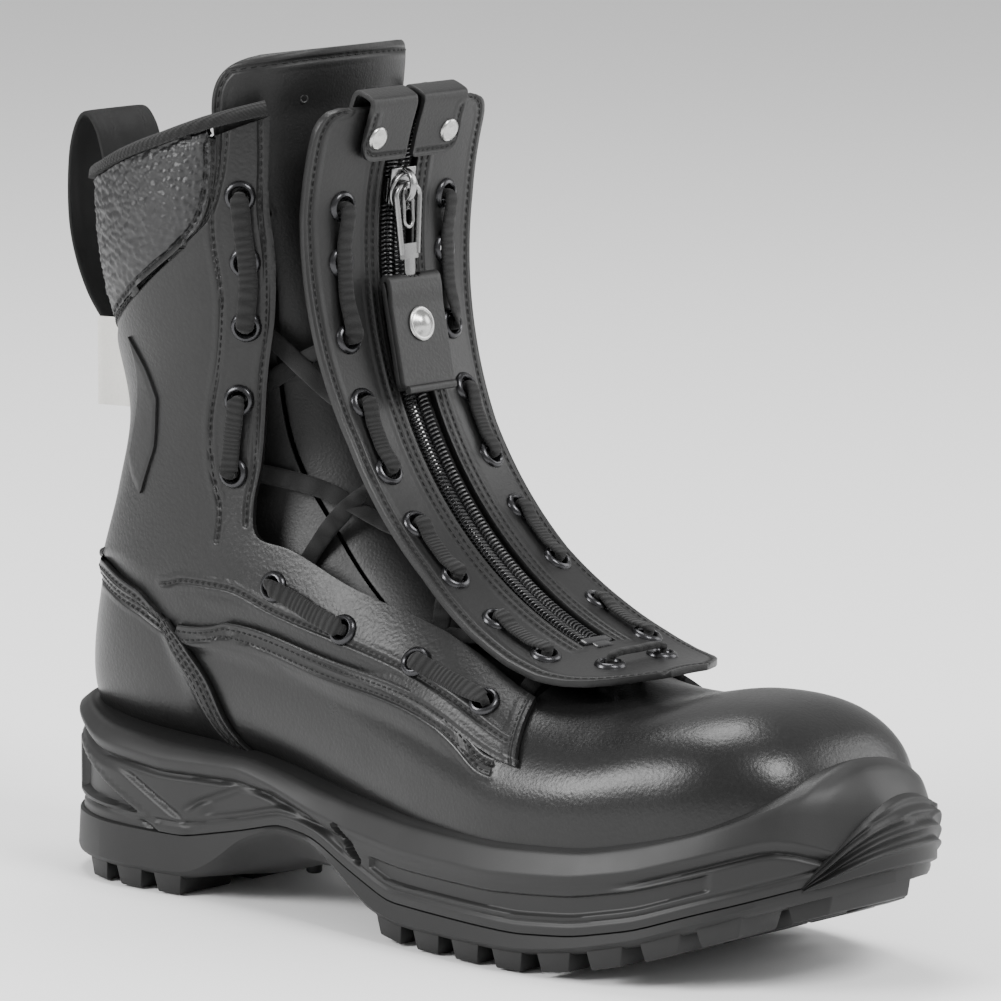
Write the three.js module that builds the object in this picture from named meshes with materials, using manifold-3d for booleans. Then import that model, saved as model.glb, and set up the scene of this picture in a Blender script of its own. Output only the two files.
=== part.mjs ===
// Firefighter's boot, right foot, EU 43: leather shaft with a laced-in front zip panel.
// Units are millimetres.  Toe points to -Y, heel to +Y, the outer (lateral) side is -X, up is +Z.
import * as THREE from 'three';
import Module from 'manifold-3d';

const wasm = await Module();
wasm.setup();
const { Manifold, Mesh: ManifoldMesh } = wasm;

// ---------------------------------------------------------------- driving dimensions
const LENGTH = 321;          // heel to toe bumper, overall
const WIDTH = 101;           // upper across the ball of the foot
const LEATHER = 1.8;         // upper leather
const LINING = 0.8;          // textile lining
const LINING_DEPTH = 5.8;    // face of the lining below the outer face of the upper
const TONGUE_DEPTH = 8.6;    // face of the tongue below the outer face of the upper
const SOLE_GAP = 1.9;        // clearance between the upper and the sole cradle
const ZIP_RADIUS = 117;      // radius of the arc the zip runs on
const ZIP_AXIS_Y = -233.8;   // centre of that arc
const ZIP_AXIS_Z = 198;
const ZIP_X = 0.5;           // the zip stands this far off the middle plane
const PANEL_CROWN = 460;     // panel depth = x * x / PANEL_CROWN
const PANEL_LEATHER = 2.2;
const SLOT_HALF = 7.3;       // half of the opening between the panel halves
const ZIP_TOP_DEG = 20.5;
const ZIP_END_DEG = -70;
const SLIDER_DEG = 8.5;      // slider at rest, zip closed
const EYELET_BORE = 2.6;     // radius of the lace hole
const EYELET_BARREL = 3.1;
const EYELET_FLANGE = 4.7;
const LACE_RADIUS = 1.35;
const FOB_WIDTH = 22;
const FOB_LENGTH = 33;
const DEG = Math.PI / 180;
const WIDE = WIDTH / 101;

// Stations of the last: front point (y, z), back or bottom point (y, z), half width, height of
// the widest place, roundness in front and behind, sideways shift.
const STATIONS = [
  [-300, 45, -300, 40, 1, 0.5, 2, 2, 4.5],
  [-298, 54, -298, 37.5, 14, 0.5, 2.2, 2.4, 4],
  [-293.5, 63, -293.5, 35, 25, 0.44, 2.4, 3, 3.5],
  [-285, 72, -285, 32, 34.5, 0.42, 2.6, 3.4, 2.5],
  [-271, 78, -271, 29, 42.5, 0.38, 2.6, 3.6, 1],
  [-252, 79, -252, 25.5, 47.5, 0.39, 2.45, 3.6, 0],
  [-229, 75.5, -229, 22.8, 50.5, 0.42, 2.3, 3.6, -1.5],
  [-203, 79.5, -203, 22, 50.5, 0.4, 2.1, 3.6, -2.5],
  [-178, 94, -174, 25, 47.5, 0.38, 1.95, 3.6, -2.5],
  [-157, 107, -143, 30, 43.5, 0.38, 1.9, 3.4, -2],
  [-140, 121, -106, 35, 40.5, 0.4, 1.9, 3, -1],
  [-127, 138, -66, 37.5, 39, 0.44, 2, 2.8, 0],
  [-120, 154, -29, 38, 38.5, 0.46, 2, 2.7, 0],
  [-117, 168, -7.5, 47, 38.5, 0.47, 2.1, 2.3, 0],
  [-115, 181, -8, 76, 39, 0.49, 2.1, 2.1, 0],
  [-113.5, 194, -19.5, 106, 40, 0.51, 2.2, 2.2, 0],
  [-112, 206, -27.5, 134, 42.5, 0.53, 2.2, 2.2, 0],
  [-111, 218, -22.5, 163, 46.5, 0.55, 2.2, 2.2, 0],
  [-110.5, 230, -18, 193, 49, 0.56, 2.2, 2.2, 0],
  [-110, 242, -13.5, 222, 50.5, 0.56, 2.2, 2.2, 0],
  [-109.5, 256, -11, 242, 50.5, 0.56, 2.2, 2.2, 0],
];

// Edge curves of the upper as [station, angle in degrees]; 0 is the front, 180 the back.
const FRONT_EDGE = [
  [18.8, 43], [18.2, 44.5], [17.6, 46], [17, 47.5], [16.3, 48.6], [15.6, 49.6], [14.7, 50.7],
  [13.85, 52], [13.1, 53.5], [12.5, 57], [12.05, 63], [11.6, 67], [11, 62], [10, 53.5],
  [8.5, 40], [7.05, 35],
];
const QUARTER_BACK = [
  [18.6, 66], [17.7, 70], [17.15, 80], [17, 111], [17, 150], [17, 179.4], [15.8, 179.4],
  [14.64, 179.4], [14.43, 150], [13.88, 122], [13, 101.6], [12.08, 97.4], [11.2, 90.5],
  [9.9, 78], [8.3, 65], [6.75, 65],
];
const COVER_SIDE = [[10.4, 140], [10.65, 129], [11.12, 109], [11.6, 100.5], [12, 98.5]];
const COVER_TOP = [[12, 98.5], [12.92, 102], [13.77, 122], [14.33, 150], [14.52, 180]];
const COVER_FOOT = [[10.4, 140], [11.4, 144], [12.2, 148], [12.8, 160], [13, 180]];
const EYELETS_FACING = [
  [17.4, 58], [16.25, 61], [15.1, 62], [13.9, 62], [12.85, 65], [10.95, 73], [9.8, 65],
  [8.6, 55.5], [7.5, 50],
];
const EYELETS_PANEL = [
  [22.5, 6], [22.5, -2], [22.5, -13], [22.5, -22.5], [22.5, -33], [22.5, -42], [22.5, -52],
  [22.5, -61.5], [22.5, -71.5], [11.5, -79],
];
const COLLAR = [[43, 18.92], [70, 18.82], [90, 18.72], [120, 18.6], [150, 18.6], [180, 18.6]];

// Where the panel's lower holes sit on the last, for the crossings of the lace.
const PANEL_STATION = [0, 0, 0, 0, 10.9, 9.9, 8.85, 8, 7.2];

// Plan outline of the sole at the lip, from the heel round the outer side to the toe and back.
const OUTLINE = [
  [0, -2.5], [-17, -6], [-30, -16], [-39, -33], [-42, -55], [-42.5, -80], [-43.5, -105],
  [-46, -130], [-50, -155], [-54, -180], [-56.5, -207], [-55, -232], [-50, -257], [-41, -279],
  [-28, -296], [-12, -306.5], [4, -310], [19, -306], [32, -295], [42, -277], [48.5, -255],
  [51.5, -230], [51, -205], [47, -180], [42, -155], [39, -130], [38.5, -105], [40, -80],
  [41, -55], [38, -33], [30, -16], [17, -6],
];
// Heights along the boot, by y: lip at the edge, lip on the middle line, joint between midsole
// and outsole, underside of the outsole at the edge and in the middle, tread.
const LIP = [
  [0, 53], [-15, 51], [-30, 46], [-60, 43.5], [-94, 44.5], [-110, 41], [-124, 37], [-140, 34],
  [-165, 31.5], [-205, 31], [-235, 33], [-254, 36.5], [-272, 42], [-284, 46], [-292, 48.5],
  [-300, 46], [-306, 42], [-312, 38],
];
const LIP_MIDDLE = [
  [0, 53], [-12, 52], [-60, 48], [-140, 45], [-240, 48], [-270, 54], [-284, 60], [-291, 63.5],
  [-296, 66], [-300, 64.5], [-305, 58], [-308, 51], [-310, 45],
];
const SPLIT = [
  [0, 19], [-70, 19], [-94, 24], [-110, 28], [-125, 26.5], [-140, 20], [-160, 13], [-215, 12],
  [-235, 13.5], [-255, 17.5], [-271, 23], [-285, 27.5], [-295, 31], [-312, 37],
];
const GROUND = [
  [0, 5], [-70, 5], [-80, 9], [-94, 19], [-110, 24.5], [-125, 22.5], [-136, 16.5], [-150, 8],
  [-162, 5], [-215, 5], [-235, 7.5], [-255, 12], [-275, 19], [-295, 26.5], [-312, 32],
];
const GROUND_MIDDLE = [
  [0, 5], [-76, 5], [-94, 8], [-110, 13], [-125, 12.5], [-140, 7], [-150, 5], [-215, 5],
  [-235, 7.5], [-255, 12], [-275, 19], [-295, 26.5], [-312, 32],
];

// ---------------------------------------------------------------- small tools
const clamp = (v, lo, hi) => Math.min(hi, Math.max(lo, v));
const lerp = (a, b, f) => a + (b - a) * f;
const smooth = (a, b, v) => {
  const f = clamp((v - a) / (b - a), 0, 1);
  return f * f * (3 - 2 * f);
};
const power = (v, e) => Math.sign(v) * Math.abs(v) ** e;

function spline(knots, u) {
  const last = knots.length - 1;
  const s = clamp(u, 0, last);
  const i = Math.min(Math.floor(s), last - 1);
  const f = s - i;
  const p = [knots[Math.max(i - 1, 0)], knots[i], knots[i + 1], knots[Math.min(i + 2, last)]];
  return p[1].map((v, k) => 0.5 * (2 * v + (p[2][k] - p[0][k]) * f
    + (2 * p[0][k] - 5 * v + 4 * p[2][k] - p[3][k]) * f * f
    + (3 * v - p[0][k] - 3 * p[2][k] + p[3][k]) * f * f * f));
}

function table(rows, key) {
  const up = rows[0][0] < rows[rows.length - 1][0];
  const list = up ? rows : [...rows].reverse();
  const at = clamp(key, list[0][0], list[list.length - 1][0]);
  let i = 0;
  while (i < list.length - 2 && at > list[i + 1][0]) i += 1;
  const f = (at - list[i][0]) / (list[i + 1][0] - list[i][0]);
  return lerp(list[i][1], list[i + 1][1], f);
}

// A longer boot grows in front of the zip only, so the shaft keeps its shape.
function reach(y) {
  const tip = -314.1;
  const from = -236;
  return y > from ? y : from + ((y - from) * (LENGTH - 6.9 + from)) / (from - tip);
}

function last(t, deg) {
  const [fy, fz, by, bz, w, m, nf, nb, xc] = spline(STATIONS, t);
  const c = Math.cos(deg * DEG);
  const n = c >= 0 ? nf : nb;
  const h = (c >= 0 ? 1 - m : m) * power(c, 2 / n) + m;
  const x = (xc + w * power(Math.sin(deg * DEG), 2 / n)) * WIDE;
  return new THREE.Vector3(x, reach(by + (fy - by) * h), bz + (fz - bz) * h);
}

function frameAt(t, deg) {
  const e = 0.02;
  const along = last(t + e, deg).sub(last(Math.max(t - e, 0), deg)).normalize();
  const around = last(t, deg + 1).sub(last(t, deg - 1)).normalize();
  const out = new THREE.Vector3().crossVectors(around, along).normalize();
  const middle = last(t, 0).add(last(t, 180)).multiplyScalar(0.5);
  if (out.dot(last(t, deg).sub(middle)) < 0) out.negate();
  return { along, around, out };
}

function skin(t, deg, depth, lift = 0) {
  const f = frameAt(t, deg);
  return last(t, deg).addScaledVector(f.out, depth).addScaledVector(f.along, lift);
}

function crown(x, deg) {
  return ZIP_RADIUS + ((x - ZIP_X) ** 2) / PANEL_CROWN - 3 * smooth(-74, -92, deg);
}

function arc(x, deg, depth) {
  const r = crown(x, deg) + depth;
  const y = ZIP_AXIS_Y + r * Math.cos(deg * DEG);
  return new THREE.Vector3(x, y, ZIP_AXIS_Z + r * Math.sin(deg * DEG));
}

// ---------------------------------------------------------------- solids
function solid(points, triangles) {
  let volume = 0;
  for (const [a, b, c] of triangles) {
    volume += points[a].dot(new THREE.Vector3().crossVectors(points[b], points[c]));
  }
  const index = volume < 0 ? triangles.map(([a, b, c]) => [a, c, b]) : triangles;
  const mesh = new ManifoldMesh({
    numProp: 3,
    vertProperties: new Float32Array(points.flatMap((p) => [p.x, p.y, p.z])),
    triVerts: new Uint32Array(index.flat()),
  });
  return new Manifold(mesh);
}

// A sheet of leather: cells of a grid kept by `keep`, with an outer and an inner face.
function sheet(rows, columns, outer, inner, keep = () => true) {
  const points = [];
  const triangles = [];
  const ids = new Map();
  const id = (i, j, side) => {
    const key = `${i},${j},${side}`;
    if (!ids.has(key)) {
      ids.set(key, points.length);
      points.push(side ? inner(i, j) : outer(i, j));
    }
    return ids.get(key);
  };
  const has = (i, j) => i >= 0 && j >= 0 && i < rows && j < columns && keep(i, j);
  const wall = (i0, j0, i1, j1) => {
    const q = [id(i0, j0, 0), id(i1, j1, 0), id(i1, j1, 1), id(i0, j0, 1)];
    triangles.push([q[0], q[1], q[2]], [q[0], q[2], q[3]]);
  };
  for (let i = 0; i < rows; i += 1) {
    for (let j = 0; j < columns; j += 1) {
      if (!has(i, j)) continue;
      for (const side of [0, 1]) {
        const q = [id(i, j, side), id(i, j + 1, side), id(i + 1, j + 1, side), id(i + 1, j, side)];
        const flip = side === 1;
        triangles.push(flip ? [q[0], q[2], q[1]] : [q[0], q[1], q[2]]);
        triangles.push(flip ? [q[0], q[3], q[2]] : [q[0], q[2], q[3]]);
      }
      if (!has(i - 1, j)) wall(i, j + 1, i, j);
      if (!has(i + 1, j)) wall(i + 1, j, i + 1, j + 1);
      if (!has(i, j - 1)) wall(i, j, i + 1, j);
      if (!has(i, j + 1)) wall(i + 1, j + 1, i, j + 1);
    }
  }
  return solid(points, triangles);
}

// A closed section carried along a list of frames, both ends capped.
function sweep(count, sides, at) {
  const points = [];
  const triangles = [];
  for (let i = 0; i < count; i += 1) {
    for (let k = 0; k < sides; k += 1) points.push(at(i, k));
  }
  for (let i = 0; i < count - 1; i += 1) {
    for (let k = 0; k < sides; k += 1) {
      const a = i * sides + k;
      const b = i * sides + ((k + 1) % sides);
      triangles.push([a, b, b + sides], [a, b + sides, a + sides]);
    }
  }
  for (let k = 1; k < sides - 1; k += 1) {
    const top = (count - 1) * sides;
    triangles.push([0, k + 1, k], [top, top + k, top + k + 1]);
  }
  return solid(points, triangles);
}

function place(body, origin, x, y, z) {
  return body.transform([
    x.x, x.y, x.z, 0, y.x, y.y, y.z, 0, z.x, z.y, z.z, 0, origin.x, origin.y, origin.z, 1,
  ]);
}

function rod(from, to, radius, sides = 8) {
  const axis = to.clone().sub(from);
  const length = axis.length();
  const z = axis.normalize();
  const helper = Math.abs(z.x) < 0.9 ? new THREE.Vector3(1, 0, 0) : new THREE.Vector3(0, 1, 0);
  const x = new THREE.Vector3().crossVectors(helper, z).normalize();
  const y = new THREE.Vector3().crossVectors(z, x);
  return place(Manifold.cylinder(length, radius, radius, sides), from, x, y, z);
}

function box(x0, x1, y0, y1, z0, z1) {
  return Manifold.cube([x1 - x0, y1 - y0, z1 - z0]).translate([x0, y0, z0]);
}

// A block bent round the zip's arc: x range, angle range and depth range from the panel face.
function arcBlock(x0, x1, deg0, deg1, depth0, depth1, steps) {
  const flat = (x, deg, depth) => {
    const r = ZIP_RADIUS + depth;
    const y = ZIP_AXIS_Y + r * Math.cos(deg * DEG);
    return new THREE.Vector3(x, y, ZIP_AXIS_Z + r * Math.sin(deg * DEG));
  };
  return sheet(steps, 1, (i, j) => flat(j ? x1 : x0, lerp(deg0, deg1, i / steps), depth0),
    (i, j) => flat(j ? x1 : x0, lerp(deg0, deg1, i / steps), depth1));
}

// Tube along a route with a stated number of steps.
function cord(route, radius, steps, sides) {
  const curve = new THREE.CatmullRomCurve3(route, false, 'centripetal');
  const shape = new THREE.Shape();
  for (let k = 0; k <= sides; k += 1) {
    const a = (k / sides) * 2 * Math.PI;
    if (k === 0) shape.moveTo(radius, 0);
    else shape.lineTo(radius * Math.cos(a), radius * Math.sin(a));
  }
  const options = { steps, extrudePath: curve, curveSegments: 1, bevelEnabled: false };
  return new THREE.ExtrudeGeometry(shape, options);
}

// ---------------------------------------------------------------- the boot's pieces
const boot = new THREE.Group();
boot.name = 'fire_boot';

const FINISH = {
  leather: [0x1d1d1f, 0.48, 0],
  softLeather: [0x1a1a1b, 0.62, 0],
  grain: [0x202022, 0.55, 0],
  textile: [0x18181a, 0.95, 0],
  foam: [0x3a3a3c, 0.98, 0],
  rubber: [0x1b1b1c, 0.72, 0],
  polyurethane: [0x222223, 0.6, 0],
  plate: [0xb9b3a2, 0.85, 0],
  capShell: [0x4a4c50, 0.5, 0],
  steel: [0xa8aaad, 0.32, 1],
  blackMetal: [0x232325, 0.36, 1],
  coil: [0x161617, 0.4, 0],
  cord: [0x141415, 0.9, 0],
  tag: [0xe4e2dc, 0.85, 0],
};

function add(name, body, finish) {
  let geometry = body;
  if (!body.isBufferGeometry) {
    const mesh = body.simplify(0.01).getMesh();
    geometry = new THREE.BufferGeometry();
    geometry.setAttribute('position', new THREE.BufferAttribute(mesh.vertProperties, 3));
    geometry.setIndex(new THREE.BufferAttribute(mesh.triVerts, 1));
  }
  geometry.computeVertexNormals();
  const [color, roughness, metalness] = FINISH[finish];
  const material = new THREE.MeshStandardMaterial({ color, roughness, metalness });
  const node = new THREE.Mesh(geometry, material);
  node.name = name;
  boot.add(node);
}

// Angle of the seam between vamp and quarter at a station.
function seamAngle(t) {
  let lo = 11;
  let hi = 14.6;
  for (let k = 0; k < 30; k += 1) {
    const mid = (lo + hi) / 2;
    if (spline(QUARTER_BACK, mid)[0] > t) lo = mid;
    else hi = mid;
  }
  return spline(QUARTER_BACK, lo)[1] + 0.9;
}

function vamp() {
  const front = [0.3, 0.8, 1.4, 2, 2.7, 3.5, 4.4, 5.3, 6.2, 7.1];
  const wing = 5;
  const ends = [[10.34, 140], [10.6, 129], [11.05, 110], [11.42, 101.8], [11.62, 96.4]];
  const at = (i, j) => {
    const side = j < 9 ? -1 : 1;
    const k = j < 9 ? Math.min(j, 4) : Math.min(18 - j, 4);
    if (i < front.length) {
      const t = front[i];
      const top = lerp(64, 66, smooth(4, 7.1, t));
      if (k < 4) return [t, side * lerp(138, top, k / 4)];
      return [t, lerp(-top, top, (j - 4) / 10)];
    }
    const f = (i - front.length + 1) / wing;
    const t = lerp(7.1, ends[k][0], f);
    const straight = lerp(lerp(138, 66, k / 4), ends[k][1], f);
    const edge = seamAngle(lerp(7.1, ends[4][0], f)) - lerp(66, ends[4][1], f);
    return [t, side * (straight + edge * (k / 4) * smooth(0, 0.12, f))];
  };
  const keep = (i, j) => i < front.length - 1 || j < 4 || j >= 14;
  return sheet(front.length - 1 + wing, 18, (i, j) => skin(...at(i, j), 0),
    (i, j) => skin(...at(i, j), -LEATHER), keep);
}

function quarterDepth(u, v) {
  const base = 1.6 * smooth(0, 0.3, v);
  return Math.max(base, 2.3 * smooth(13.2, 14.2, u));
}

function quarter(side) {
  const rows = 26;
  const columns = 7;
  const at = (i, j) => {
    const u = (15 * i) / rows;
    const v = j / columns;
    const a = spline(QUARTER_BACK, u);
    const b = spline(FRONT_EDGE, u);
    const deg = Math.min(lerp(a[1], b[1], v), 179.2);
    return [lerp(a[0], b[0], v), side * deg, quarterDepth(u, v)];
  };
  let body = sheet(rows, columns, (i, j) => skin(...at(i, j)), (i, j) => {
    const [t, deg, depth] = at(i, j);
    return skin(t, deg, depth - LEATHER);
  });
  for (const [t, deg] of EYELETS_FACING) {
    const from = skin(t, side * deg, -4);
    body = body.subtract(rod(from, skin(t, side * deg, 5), EYELET_BARREL + 0.5, 6));
  }
  return body;
}

function heelCover() {
  const half = 8;
  const rows = 4;
  const at = (i, j) => {
    const s = 1 - Math.abs(j - half) / half;
    const v = i / rows;
    const foot = spline(COVER_FOOT, 4 * s);
    const top = spline(COVER_TOP, 4 * s);
    const edge = spline(COVER_SIDE, 4 * v);
    const mid = [lerp(13, 14.54, v), 180];
    const p = [0, 1].map((k) => lerp(foot[k], top[k], v) + lerp(edge[k], mid[k], s)
      - lerp(lerp(COVER_FOOT[0][k], COVER_TOP[0][k], v), lerp([13, 180][k], [14.54, 180][k], v), s));
    return [p[0], (j < half ? -1 : 1) * p[1]];
  };
  return sheet(rows, 2 * half, (i, j) => skin(...at(i, j), 0),
    (i, j) => skin(...at(i, j), -LEATHER));
}

function collarTop(deg) {
  return table(COLLAR, Math.abs(deg));
}

function collarPanel() {
  const half = 9;
  const at = (i, j) => {
    const s = Math.abs(j - half) / half;
    const low = spline(QUARTER_BACK, 5 * (1 - s));
    const deg = lerp(180, 67.2, s);
    const lowAt = [low[0] + 0.05, Math.min(low[1] + 1.2, 180)];
    const top = [collarTop(deg) - 0.14, deg];
    const v = i / 4;
    return [lerp(lowAt[0], top[0], v), (j < half ? -1 : 1) * lerp(lowAt[1], top[1], v),
      0.3 + 2.2 * Math.sin(Math.PI * clamp(v, 0.05, 0.95)) ** 0.6];
  };
  return sheet(4, 2 * half, (i, j) => skin(...at(i, j)), (i, j) => {
    const [t, deg] = at(i, j);
    return skin(t, deg, -LEATHER);
  });
}

function collarBinding() {
  const ring = [[-6.8, -0.6], [-6, 1.5], [-2, 2.9], [1.6, 1.9], [2.6, -0.6], [2, -1.1], [-6, -1.1]];
  const count = 25;
  return sweep(count, ring.length, (i, k) => {
    const deg = lerp(44, 316, i / (count - 1));
    const t = collarTop(deg > 180 ? 360 - deg : deg);
    return skin(t, deg, ring[k][0], ring[k][1]);
  });
}

function shaftLining() {
  const rows = 9;
  const columns = 14;
  const at = (i, j) => {
    const v = i / rows;
    const deg = lerp(78, 282, j / columns);
    const top = collarTop(deg > 180 ? 360 - deg : deg) - 0.12;
    return [lerp(7.7, top, v), deg];
  };
  return sheet(rows, columns, (i, j) => skin(...at(i, j), -LINING_DEPTH),
    (i, j) => skin(...at(i, j), -LINING_DEPTH - LINING));
}

function vampLining() {
  const at = (i, j) => [lerp(0.9, 7, i / 7), lerp(-135, 135, j / 12)];
  return sheet(7, 12, (i, j) => skin(...at(i, j), -LINING_DEPTH),
    (i, j) => skin(...at(i, j), -LINING_DEPTH - LINING));
}

function toeCap() {
  const at = (i, j) => [lerp(0.9, 4.4, i / 5), lerp(-130, 130, j / 12)];
  return sheet(5, 12, (i, j) => skin(...at(i, j), -3), (i, j) => skin(...at(i, j), -4.8));
}

function heelStiffener() {
  const at = (i, j) => [lerp(12.6, 14.2, i / 3), lerp(112, 248, j / 10)];
  return sheet(3, 10, (i, j) => skin(...at(i, j), -3), (i, j) => skin(...at(i, j), -4.8));
}

function shaftPadding() {
  const at = (i, j) => [lerp(14.5, 18.3, i / 5), lerp(86, 274, j / 12)];
  return sheet(5, 12, (i, j) => skin(...at(i, j), -2.9), (i, j) => skin(...at(i, j), -4));
}

function tongueHalf(t) {
  return table([[7.2, 26], [8, 40], [9, 49], [16.5, 50], [17.6, 60], [18.4, 72], [19.5, 71],
    [19.85, 62], [20, 48]], t);
}

function tongue() {
  const list = [7.2, 8.2, 9.4, 10.6, 11.8, 13, 14.8, 16.5, 17.6, 18.4, 19, 19.5, 19.85, 20];
  const at = (i, j, side) => {
    const t = list[i];
    const f = j / 5 - 1;
    const lean = 3.4 * smooth(18.6, 20, t) * (1 - f * f);
    const thick = side * (1.3 + 3 * smooth(16, 18, t));
    return [t, f * tongueHalf(t), -TONGUE_DEPTH + lean - thick];
  };
  return sheet(list.length - 1, 10, (i, j) => skin(...at(i, j, 0)), (i, j) => skin(...at(i, j, 1)));
}

function gusset(side) {
  const at = (i, j) => {
    const t = lerp(8.1, 16.4, i / 10);
    const inner = tongueHalf(t) + 1.3;
    const f = j / 3;
    return [t, side * lerp(inner, 76.8, f), -TONGUE_DEPTH - 0.2 + 1.2 * f];
  };
  return sheet(10, 3, (i, j) => skin(...at(i, j)), (i, j) => {
    const [t, deg, depth] = at(i, j);
    return skin(t, deg, depth - 0.9);
  });
}

function eyelet(origin, z, base, flange) {
  const helper = new THREE.Vector3(1, 0, 0);
  const y = new THREE.Vector3().crossVectors(z, helper).normalize();
  const x = new THREE.Vector3().crossVectors(y, z);
  const barrel = Manifold.cylinder(flange + 0.85 - base, EYELET_BARREL, EYELET_BARREL, 6);
  const cap = Manifold.cylinder(0.85, EYELET_FLANGE, EYELET_FLANGE, 6);
  const body = barrel.translate([0, 0, base]).add(cap.translate([0, 0, flange]));
  const bore = Manifold.cylinder(12, EYELET_BORE, EYELET_BORE, 6).translate([0, 0, -6]);
  return [place(body, origin, x, y, z), place(bore, origin, x, y, z)];
}

function eyeletsFacing(side) {
  const rail = [[17.95, 56.5], ...EYELETS_FACING.slice(0, 5), [11.9, 73.5],
    ...EYELETS_FACING.slice(5), [7.25, 48.5]];
  const rows = 16;
  const at = (i, j) => {
    const [t, deg] = spline(rail, ((rail.length - 1) * i) / rows);
    return [t, side * (deg + (j ? 6 : -6))];
  };
  let body = sheet(rows, 1, (i, j) => skin(...at(i, j), -2.1), (i, j) => skin(...at(i, j), -2.9));
  EYELETS_FACING.forEach(([t, deg], k) => {
    const f = frameAt(t, side * deg);
    const [ring, bore] = eyelet(last(t, side * deg), f.out, -2.6, k > 6 ? 2.8 : 2.1);
    body = body.add(ring).subtract(bore);
  });
  return body;
}

function panelHalf(deg) {
  return table([[20.5, 37], [5, 37], [-15, 34], [-28, 31.8], [-50, 31.8], [-62, 34.5], [-72, 36.5],
    [-78, 36], [-82, 33.5], [-86, 28], [-88.5, 20.5], [-90, 11]], deg);
}

function zipPanel() {
  const list = [20.5, 13, 5, -4, -13, -22, -31, -40, -49, -57, -65, -72, -78, -82, -86, -88.5, -90];
  const open = list.indexOf(-72);
  const at = (i, j) => {
    const half = panelHalf(list[i]);
    const k = Math.abs(j - 4);
    const slot = Math.min(SLOT_HALF, half * 0.6);
    const x = k === 0 ? 0 : lerp(slot, half, (k - 1) / 3);
    return [ZIP_X + Math.sign(j - 4) * x, list[i]];
  };
  let body = sheet(list.length - 1, 8, (i, j) => arc(...at(i, j), 0),
    (i, j) => arc(...at(i, j), PANEL_LEATHER), (i, j) => i >= open || j < 3 || j >= 5);
  for (const side of [-1, 1]) {
    for (const [x, deg] of EYELETS_PANEL) {
      const px = ZIP_X + side * x;
      const n = panelNormal(px, deg);
      const from = arc(px, deg, 0).addScaledVector(n, -5);
      body = body.subtract(rod(from, from.clone().addScaledVector(n, 8), EYELET_BARREL + 0.7, 6));
    }
  }
  return body;
}

function panelNormal(x, deg) {
  const across = arc(x + 1, deg, 0).sub(arc(x - 1, deg, 0));
  const along = arc(x, deg + 1, 0).sub(arc(x, deg - 1, 0));
  return new THREE.Vector3().crossVectors(across, along).normalize();
}

function eyeletsPanel(side) {
  const list = [18.5, 13, 5, -4, -13, -22, -31, -40, -49, -57, -65, -72.2, -73.2, -78, -82];
  const at = (i, j) => {
    const half = panelHalf(list[i]) - 1;
    const inner = list[i] > -73 ? 15.6 : 3;
    return [ZIP_X + side * (j ? half : inner), list[i]];
  };
  let body = sheet(list.length - 1, 1, (i, j) => arc(...at(i, j), 2.8),
    (i, j) => arc(...at(i, j), 3.6));
  for (const [x, deg] of EYELETS_PANEL) {
    const px = ZIP_X + side * x;
    const [ring, bore] = eyelet(arc(px, deg, 0), panelNormal(px, deg), -3.3, 0.5);
    body = body.add(ring).subtract(bore);
  }
  return body;
}

function facingHole(side, index, depth) {
  const [t, deg] = EYELETS_FACING[index];
  return skin(t, side * deg, depth);
}

function panelHole(side, index, depth) {
  const [x, deg] = EYELETS_PANEL[index];
  return arc(ZIP_X + side * x, deg, depth);
}

// One lace per side, laced from the top facing hole down to the toe and back up the panel.
function lace(side) {
  const route = [];
  const hole = (kind, index, outward) => {
    const levels = kind === 'facing' ? [-5, 0.5, 5] : [5.8, 1.4, -3.6];
    const pick = kind === 'facing' ? facingHole : panelHole;
    const order = outward ? levels : [...levels].reverse();
    for (const depth of order) route.push(pick(side, index, depth));
  };
  const over = (kind, from, to) => {
    hole(kind, from, true);
    const pick = kind === 'facing' ? facingHole : panelHole;
    const lift = kind === 'facing' ? 5.2 : -3.9;
    route.push(pick(side, from, lift).lerp(pick(side, to, lift), 0.5));
    hole(kind, to, false);
  };
  const under = (facingIndex, panelIndex) => {
    const [t, deg] = EYELETS_FACING[facingIndex];
    route.push(skin((t + PANEL_STATION[panelIndex]) / 2, side * (deg + 25) / 2, -4.6));
  };
  over('facing', 0, 2);
  over('panel', 3, 4);
  under(5, 4);
  over('facing', 5, 6);
  under(6, 7);
  over('panel', 7, 8);
  under(8, 8);
  over('facing', 8, 7);
  under(7, 6);
  over('panel', 6, 5);
  under(4, 5);
  over('facing', 4, 3);
  over('panel', 2, 0);
  return cord(route, LACE_RADIUS, 100, 4);
}

function tieCord() {
  const route = [
    panelHole(-1, 9, 2.4), panelHole(-1, 9, 0.5), panelHole(-1, 9, -3.2),
    arc(ZIP_X, -79, -4), panelHole(1, 9, -3.2), panelHole(1, 9, 0.5), panelHole(1, 9, 2.4),
  ];
  return cord(route, 1.1, 16, 5);
}

function zipTape(side) {
  const x = [ZIP_X + side * 0.8, ZIP_X + side * 14.8];
  return arcBlock(x[0], x[1], 18.5, -71, 2.9, 3.5, 14);
}

function zipCoil(side) {
  const x = [ZIP_X + side * 0.8, ZIP_X + side * 4.6];
  return arcBlock(x[0], x[1], 18.2, ZIP_END_DEG, 0.2, 2.6, 14);
}

function bottomStop() {
  return arcBlock(ZIP_X - 5.6, ZIP_X + 5.6, ZIP_END_DEG - 0.3, ZIP_END_DEG - 1.6, -0.6, 2.6, 1);
}

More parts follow.
